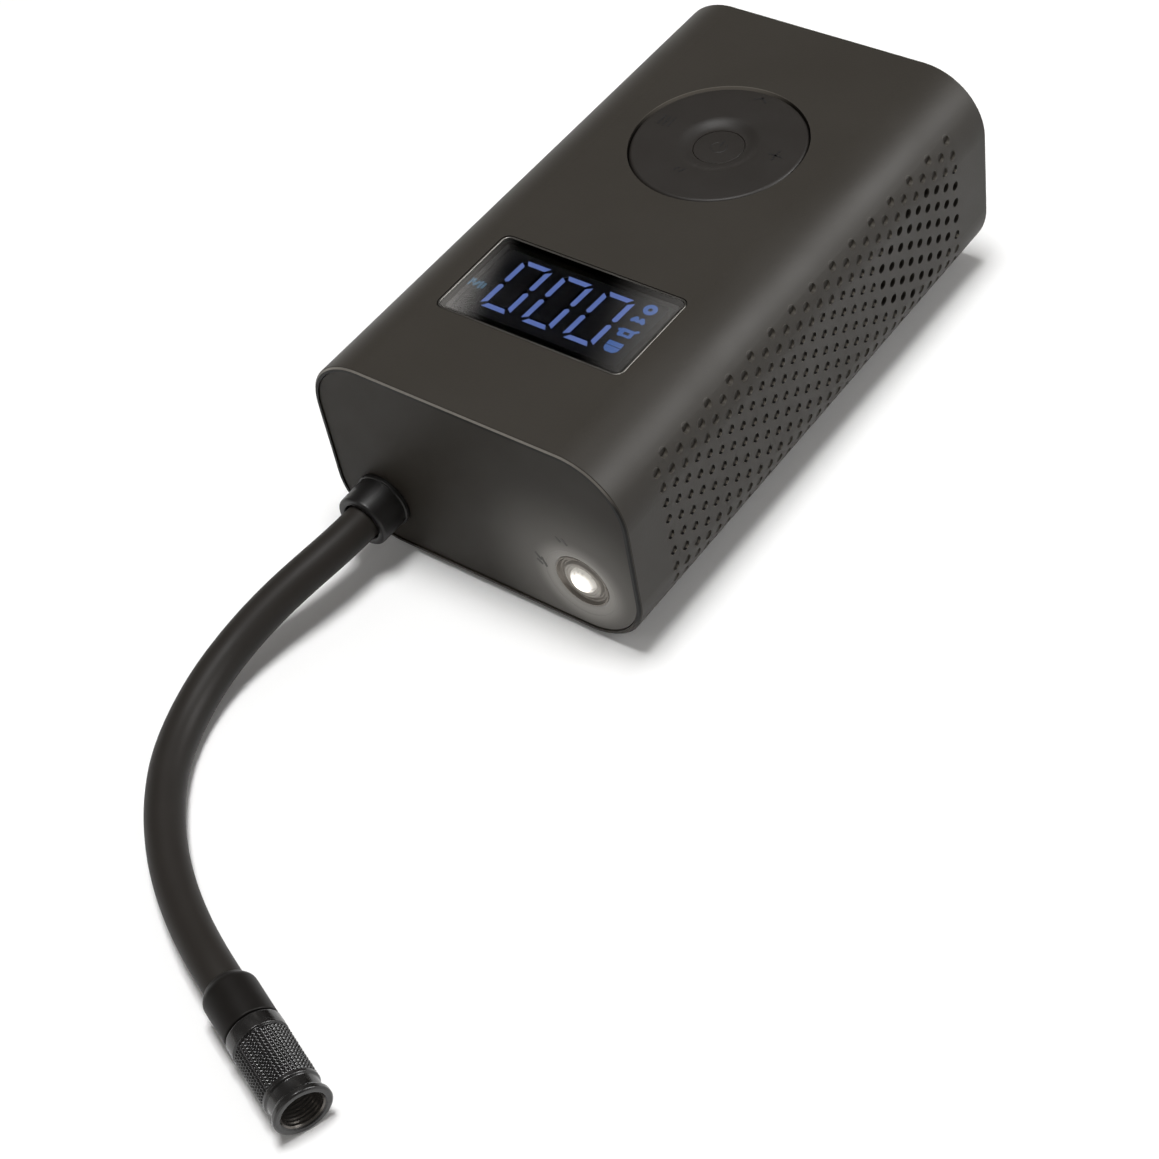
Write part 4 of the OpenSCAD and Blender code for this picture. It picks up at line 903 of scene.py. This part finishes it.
class MakeKeys(bpy.types.Operator):
    """Make the tilting ring, the key in its middle and their marks"""
    bl_idname = "inflator.make_keys"
    bl_label = "Keys"

    def execute(self, context):
        keys = context.scene.inflator.keys
        plastic = keys_finish(keys)
        radius = (BOX["control_ring"][1].x - BOX["control_ring"][0].x) / 2
        hole = keys.key_radius + keys.gap
        t = np.linspace(0, 1, 30)
        dish = np.column_stack([
            keys.dish_radius + (hole - keys.dish_radius) * t,
            RING_TOP - keys.dish_depth * (1 - np.cos(math.pi * t)) / 2,
        ])
        under, low, inner = RING_TOP - 2.4 * MM, RING_TOP - 3 * MM, radius - 1.5 * MM
        rim = filleted([
            (inner, under, 0), (inner, low, 0), (radius, low, 0.0001),
            (radius, RING_TOP, keys.fillet), (keys.dish_radius, RING_TOP, 0), (hole, under, 0),
        ], 9)[:-1]
        outline = np.vstack([rim, dish[1:], [(hole, under)]])
        grids = [(turned(outline, 160) + RING_AXIS, True)]
        plunger, root = BOX["tact_switches"][1].z + 0.4 * MM, under + 0.2 * MM
        leg_radius, leg_place = 1.5 * MM, 10.5 * MM
        leg = filleted([(0, plunger, 0), (leg_radius, plunger, 0.0003), (leg_radius, root, 0),
                        (0, root, 0)])
        for x, y in ((1, 0), (0, 1), (-1, 0), (0, -1)):
            spot = np.array((x, y, 0)) * leg_place + RING_AXIS
            grids.append((turned(leg, 24) + spot, False))
        ring = make_piece("tilt_ring", grids, plastic, "ring")
        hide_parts("control_ring")
        self.key(keys, plastic)
        self.marks(keys)
        dress(grained("seat_plastic", (0.012, 0.012, 0.012), 0.6), "button_seat", "key_carrier")
        return {"FINISHED"}

    def key(self, keys, plastic):
        """The key: a cap that shows, a flange that the ring holds down, and a stem."""
        low, high = [corner.z for corner in BOX["centre_button"]]
        cap, flange, stem = keys.key_radius, keys.key_radius + 1.1 * MM, 1.6 * MM
        flange_low, flange_high = RING_TOP - 3.4 * MM, RING_TOP - 2.8 * MM
        outline = filleted([
            (0, low, 0), (stem, low, 0.0002), (stem, flange_low, 0), (flange, flange_low, 0),
            (flange, flange_high, 0), (cap, flange_high, 0), (cap, high, 0.0001), (0, high, 0),
        ], 8)
        grid = turned(outline, 96) + RING_AXIS
        key = make_piece("middle_key", [(grid, False)], plastic, "key")
        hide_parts("centre_button")

    def marks(self, keys):
        """Faint marks: strokes on the ring and on the key, and an open circle on the key."""
        ink = grained("key_ink", keys.ink, 0.45, grain=0.0002, relief=0.000004, specular=0.35)
        for name, (body, node, lines) in KEY_MARKS.items():
            top = BOX[node][1].z
            shapes = pads(lines, 0.45 * MM, top - 0.02 * MM, top + keys.ink_height)
            if body == "key":
                angle, radius = np.radians(np.linspace(125, 415, 40)), 1.7 * MM
                path = np.column_stack([radius * np.cos(angle), radius * np.sin(angle),
                                        np.full(len(angle), top - 0.15 * MM)])
                shapes.append(tube(path, 0.18 * MM, 16))
            grids = [(shape + RING_AXIS, False) for shape in shapes]
            make_piece(name, grids, ink, body)


class MakeWindow(bpy.types.Operator):
    """Make the bezel's round lip, and finish the glass, the display and its digits"""
    bl_idname = "inflator.make_window"
    bl_label = "Window"

    def execute(self, context):
        window = context.scene.inflator.window
        steel = grained("bezel_metal", (0.12, 0.115, 0.107), 0.34, 1.0, grain=0.0002, relief=0.000002)
        glass_low, low, top = BOX["display_window"][0].z, BOX["display_bezel"][0].z, TOP - 0.02 * MM
        wall, ledge, wide = 0.5 * MM, 1.5 * MM, 1.55 * MM
        outline = filleted([
            (wide, low, 0), (wide, low + MM, 0), (0, low + MM, 0), (0, top, window.lip),
            (-wall, top, window.lip), (-wall, glass_low, 0), (-ledge, glass_low, 0), (-ledge, low, 0),
        ])
        across, deep = WINDOW_SIZE.x - 2 * wide, WINDOW_SIZE.y - 2 * wide
        grid = carried_round(outline, across, deep, window.corner) + (0, WINDOW_MIDDLE.y, 0)
        piece = make_piece("window_bezel", [(grid, True)], steel, "housing")
        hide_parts("display_bezel")
        dress(glass_finish(), "display_window")
        dress(grained("display_black", (0.004, 0.004, 0.0045), 0.4, specular=0.2), "display_module")
        self.digits(window, glass_low - 0.08 * MM)
        self.marks(window, glass_low - 0.08 * MM)
        return {"FINISHED"}

    def digits(self, window, low):
        """Three lit zeros of six strokes, leaning a little: an end stroke is a trapezium that is
        longer outside, and a side stroke is cut to fit it and ends in a point at mid height."""
        w, h, t = window.digit_width / 2, window.digit_height / 2, window.stroke_width
        cut, gap = 0.85 * MM, 0.48 * MM
        end = [(cut - w, h), (w - cut, h), (w - t - gap, h - t), (t + gap - w, h - t)]
        side = [(w, h - cut), (w - t, h - t - gap), (w - t, gap + t / 3), (w - t / 2, gap),
                (w, gap + t / 3)]
        strokes = [(end, 1, 1), (end, 1, -1), (side, 1, 1), (side, 1, -1), (side, -1, 1),
                   (side, -1, -1)]
        lean = math.tan(math.radians(2))
        grids = []
        for k in (-1, 0, 1):
            for outline, x, y in strokes:
                points = np.array(outline) * (x, y)
                points[:, 0] += points[:, 1] * lean + k * window.digit_pitch
                grids.append((prism(points + DIGITS_MIDDLE, low, low + window.mark_height), False))
        light = glowing("digit_light", window.digit, 0.85)
        piece = make_piece("digit_strokes", grids, light, "housing")
        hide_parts("digit_lenses")

    def marks(self, window, low):
        """Lit marks behind the glass, each in its own place: small bars, and on the right also a
        ring and a block of two parts. The shapes are made a millimetre high and then thinned."""
        def bar(x, y, dx, dy, width):
            outline = stroke((-dx / 2, -dy / 2), (dx / 2, dy / 2), width)
            return prism(outline, 0, 1) + (x, y, 0), False

        ring = turned(np.array([(0.5, 0), (1.5, 0), (1.5, 1), (0.5, 1)]), 32) + (0.4, 7.3, 0)
        blocks = [(prism(np.array(outline), 0, 1) + (-0.1, y, 0), False) for y, outline in (
            (-4.15, [(-1.75, -0.45), (1.75, -0.45), (1.75, 0.75), (-1.75, 0.75)]),
            (-5.4, [(-1.75, 0.6), (1.75, 0.6), (1.6, -0.3), (0.9, -1.0), (-0.9, -1.0), (-1.6, -0.3)]),
        )]
        right = [(ring, True), *[bar(*b) for b in RIGHT_BARS], *blocks]
        left = [bar(*b) for b in LEFT_BARS]
        groups = {"right_marks": ((16.25, -31.9), right, window.mark),
                  "left_mark": ((-19.65, -34.0), left, window.unit_mark)}
        scale = (MM, MM, window.mark_height)
        for name, (spot, shapes, light) in groups.items():
            origin = (spot[0] * MM, spot[1] * MM, low)
            grids = [(grid * scale + origin, round_rows) for grid, round_rows in shapes]
            make_piece(name, grids, glowing(f"{name}_light", light), "housing")


class MakeLamp(bpy.types.Operator):
    """Make the lamp's ringed reflector and its domed lens, and the small marks beside it"""
    bl_idname = "inflator.make_lamp"
    bl_label = "Lamp"

    def execute(self, context):
        lamp = context.scene.inflator.lamp
        back = BOX["front_plate"][0].y + 2.7 * MM
        origin = (LAMP_MIDDLE.x, back, LAMP_MIDDLE.z)
        dish = filleted(np.array([
            (3.05, -1, 0), (7.4, -1, 0), (7.4, 0, 0), (6.4, 0, 0), (6.4, 2.2, 0.1), (6.1, 2.2, 0.1),
            (5.7, 1.5, 0.2), (5.3, 1.45, 0.1), (5.1, 1.2, 0.1), (4.75, 1.2, 0.1), (4.4, 1.9, 0.2),
            (3.9, 2.0, 0.1), (3.7, 1.8, 0.1), (3.4, 1.8, 0.1), (3.05, 1.5, 0.1),
        ]) * MM)
        grids = [(placed(turned(dish, 96), origin, OUT_OF_PLATE), True)]
        piece = make_piece("lamp_dish", grids, reflector_finish(lamp), "housing")
        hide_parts("lamp_reflector")
        widest = math.asin(lamp.lens_radius / lamp.dome_radius)
        angle = np.linspace(widest, 0, 14)
        dome = np.column_stack([lamp.dome_radius * np.sin(angle),
                                lamp.lens_tip - lamp.dome_radius * (1 - np.cos(angle))])
        seat = 4.2 * MM
        lens = np.vstack([[(0, -2.2 * MM), (seat, -2.2 * MM), (seat, -1.1 * MM),
                           (lamp.lens_radius, -1.1 * MM)], dome])
        grids = [(placed(turned(lens, 96), origin, OUT_OF_PLATE), False)]
        piece = make_piece("lamp_dome", grids, lens_finish(lamp), "housing", 60)
        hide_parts("lamp_lens")
        self.marks(context.scene.inflator.keys.ink_height)
        return {"FINISHED"}

    def marks(self, ink_height):
        """Five short dark strokes on the plate, above and beside the lamp, with a faint painted glow.
        """
        # The ink has a faint painted glow in the lamp's colour
        ink = grained("plate_ink", (0.02, 0.018, 0.015), 0.5, grain=0.0002, relief=0.000004,
                      specular=0.3).lit((1, 0.965, 0.9), 0.026)
        grids = [(placed(pad, (0, PLATE_FRONT, 0), OUT_OF_PLATE), False)
                 for pad in pads(PLATE_MARKS, 0.55 * MM, -0.02 * MM, ink_height)]
        make_piece("plate_marks", grids, ink, "housing")


class MakeInside(bpy.types.Operator):
    """Finish the parts inside: board, cells, motor, gears and compressor"""
    bl_idname = "inflator.make_inside"
    bl_label = "Inside"

    def execute(self, context):
        for name, (tint, roughness, metallic, grain, parts) in INSIDE.items():
            dress(grained(name, tint, roughness, metallic, grain=grain), *parts.split())
        return {"FINISHED"}


class MakeStage(bpy.types.Operator):
    """Set the pale floor and surround, the soft lights, the card and the camera"""
    bl_idname = "inflator.make_stage"
    bl_label = "Stage"

    def execute(self, context):
        stage = context.scene.inflator.stage
        self.floor(stage)
        self.card(stage)
        self.surround(context, stage)
        middle = Vector((0.005, -0.04, 0.02))
        for name, (size, offset) in LAMPS.items():
            self.light(name, getattr(stage, name), size, middle, middle + Vector(offset))
        self.camera(context, stage)
        return {"FINISHED"}

    def sheet(self, name, corners, look):
        """A flat sheet of the stage."""
        mesh = bpy.data.meshes.new(name)
        mesh.from_pydata(corners, [], [list(range(len(corners)))])
        mesh.materials.append(look.owner)
        sheet = add_object(name, mesh)

    def floor(self, stage):
        """A wide sheet under the feet. Where it is seen, by the camera or mirrored, it adds a
        little light of its own, so that only its deeper shadows show. Far from the body, where
        the lamps no longer reach it, it adds more, so that it stays white."""
        look = grained("floor_paper", stage.floor, 0.9, mottle=0.004, patch=0.05, grain=0.002,
                       relief=0.00001, specular=0.1)
        lift = look.ramp(look.distance((0, 0, 0), "XYZ"), 0.35, 1.1, stage.lift, 0.95)
        look.lit((1, 1, 1), look.times(look.seen("Camera", "Glossy", "Transmission"), lift))
        reach = 15.0
        corners = [(x * reach, y * reach, 0) for x, y in ((-1, -1), (1, -1), (1, 1), (-1, 1))]
        self.sheet("floor", corners, look)

    def card(self, stage):
        """A level card high behind the body, which the window mirrors to the camera: dark in
        a slanting band across its middle and lit at both ends. It stands where the rays from
        the camera's image in the glass, which lies as far below the glass as the camera is
        above it, meet its height, and so shows the window's outline enlarged."""
        glass = Vector((WINDOW_MIDDLE.x, WINDOW_MIDDLE.y, BOX["display_window"][1].z))
        rise = 0.8
        growth = 1 + rise / (CAMERA_PLACE.z - glass.z)
        middle = CAMERA_PLACE + growth * (glass - CAMERA_PLACE)
        middle.z = glass.z + rise
        look = Look(bpy.data.materials.new("card_light"))
        look.tree.nodes.remove(look.main)
        along = look.along("DOT_PRODUCT", look.along("SUBTRACT", look.place(), middle), (1, 0.36, 0))
        shown = growth * MM
        left = look.ramp(along, -15 * shown, -26 * shown, 0, 1.35)
        right = look.ramp(along, 8 * shown, 27 * shown, 0, 0.75)
        shine = {"Color": (1, 0.96, 0.91), "Strength": look.times(look.plus(left, right), stage.card)}
        surface = look.tree.nodes["Material Output"].inputs["Surface"]
        look.put(surface, look.step("Emission", shine, "Emission"))
        wide, deep = 0.17, 0.13
        corners = [(x * wide + middle.x, y * deep + middle.y, middle.z)
                   for x, y in ((-1, -1), (-1, 1), (1, 1), (1, -1))]
        self.sheet("mirror_card", corners, look)

    def surround(self, context, stage):
        """Pale near the horizon and darker overhead, by the height of the direction. The camera
        sees it as white as the floor, and so does a mirror, close above the horizon."""
        world = bpy.data.worlds.new("surround")
        context.scene.world = world
        look = Look(world)
        height = look.axis("Z", look.step("TexCoord", {}, "Generated"))
        tone = look.ramp(height, 0.0, 0.5, stage.horizon, stage.sky)
        close = look.ramp(height, 0.05, 0.12, 1, 0)
        white = look.most(look.seen("Camera"), look.times(look.seen("Glossy", "Transmission"), close))
        look["Color"] = (1, 0.965, 0.92)
        look["Strength"] = look.most(tone, look.times(white, stage.backdrop))

    def light(self, name, watts, size, target, place):
        """A square lamp at a place, turned to a target. The sheen only shows in reflections."""
        data = bpy.data.lights.new(f"{name}_light", "AREA")
        data.energy, data.size = watts, size
        lamp = add_object(f"{name}_light", data)
        lamp.location = place
        lamp.rotation_euler = (place - target).to_track_quat("Z", "Y").to_euler()
        lamp.visible_diffuse = name != "sheen"

    def camera(self, context, stage):
        """The camera, turned by its own right and up directions."""
        right, up = Vector((0.8000, 0.5832, -0.1407)), Vector((-0.3573, 0.6515, 0.6693))
        right.normalize()
        back = right.cross(up).normalized()
        up = back.cross(right)
        data = bpy.data.cameras.new("camera")
        data.lens, data.sensor_width = stage.lens, 36
        data.clip_start, data.clip_end = 0.01, 20
        eye = add_object("camera", data)
        turn = Matrix((right, up, back)).transposed().to_4x4()
        eye.matrix_world = Matrix.Translation(CAMERA_PLACE) @ turn
        context.scene.camera = eye
        context.scene.view_settings.view_transform = "Standard"


OPERATORS = [
    MakeStage, MakeGland, MakeChuck, MakeHose, MakeCase, MakeWindow, MakeKeys, MakeLamp, MakeInside,
]


class InflatorPanel(bpy.types.Panel):
    """The inflator's sizes and colours, with a button for each step"""
    bl_idname = "VIEW3D_PT_inflator"
    bl_label = "Inflator"
    bl_space_type = "VIEW_3D"
    bl_region_type = "UI"
    bl_category = "Inflator"

    def draw(self, context):
        looks = context.scene.inflator
        for operator in OPERATORS:
            self.layout.operator(operator.bl_idname)
        for name in GROUPS:
            box = self.layout.box()
            box.label(text=name.capitalize())
            group = getattr(looks, name)
            for field in type(group).__annotations__:
                box.prop(group, field)


CLASSES = [*GROUPS.values(), InflatorLooks, *OPERATORS, InflatorPanel]


def register():
    for item in CLASSES:
        bpy.utils.register_class(item)
    bpy.types.Scene.inflator = PointerProperty(type=InflatorLooks)


def unregister():
    del bpy.types.Scene.inflator
    for item in reversed(CLASSES):
        bpy.utils.unregister_class(item)


def main():
    """Makes every piece in order."""
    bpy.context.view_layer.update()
    register()
    for operator in OPERATORS:
        getattr(bpy.ops.inflator, operator.bl_idname.split(".")[1])()


if __name__ == "__main__":
    main()
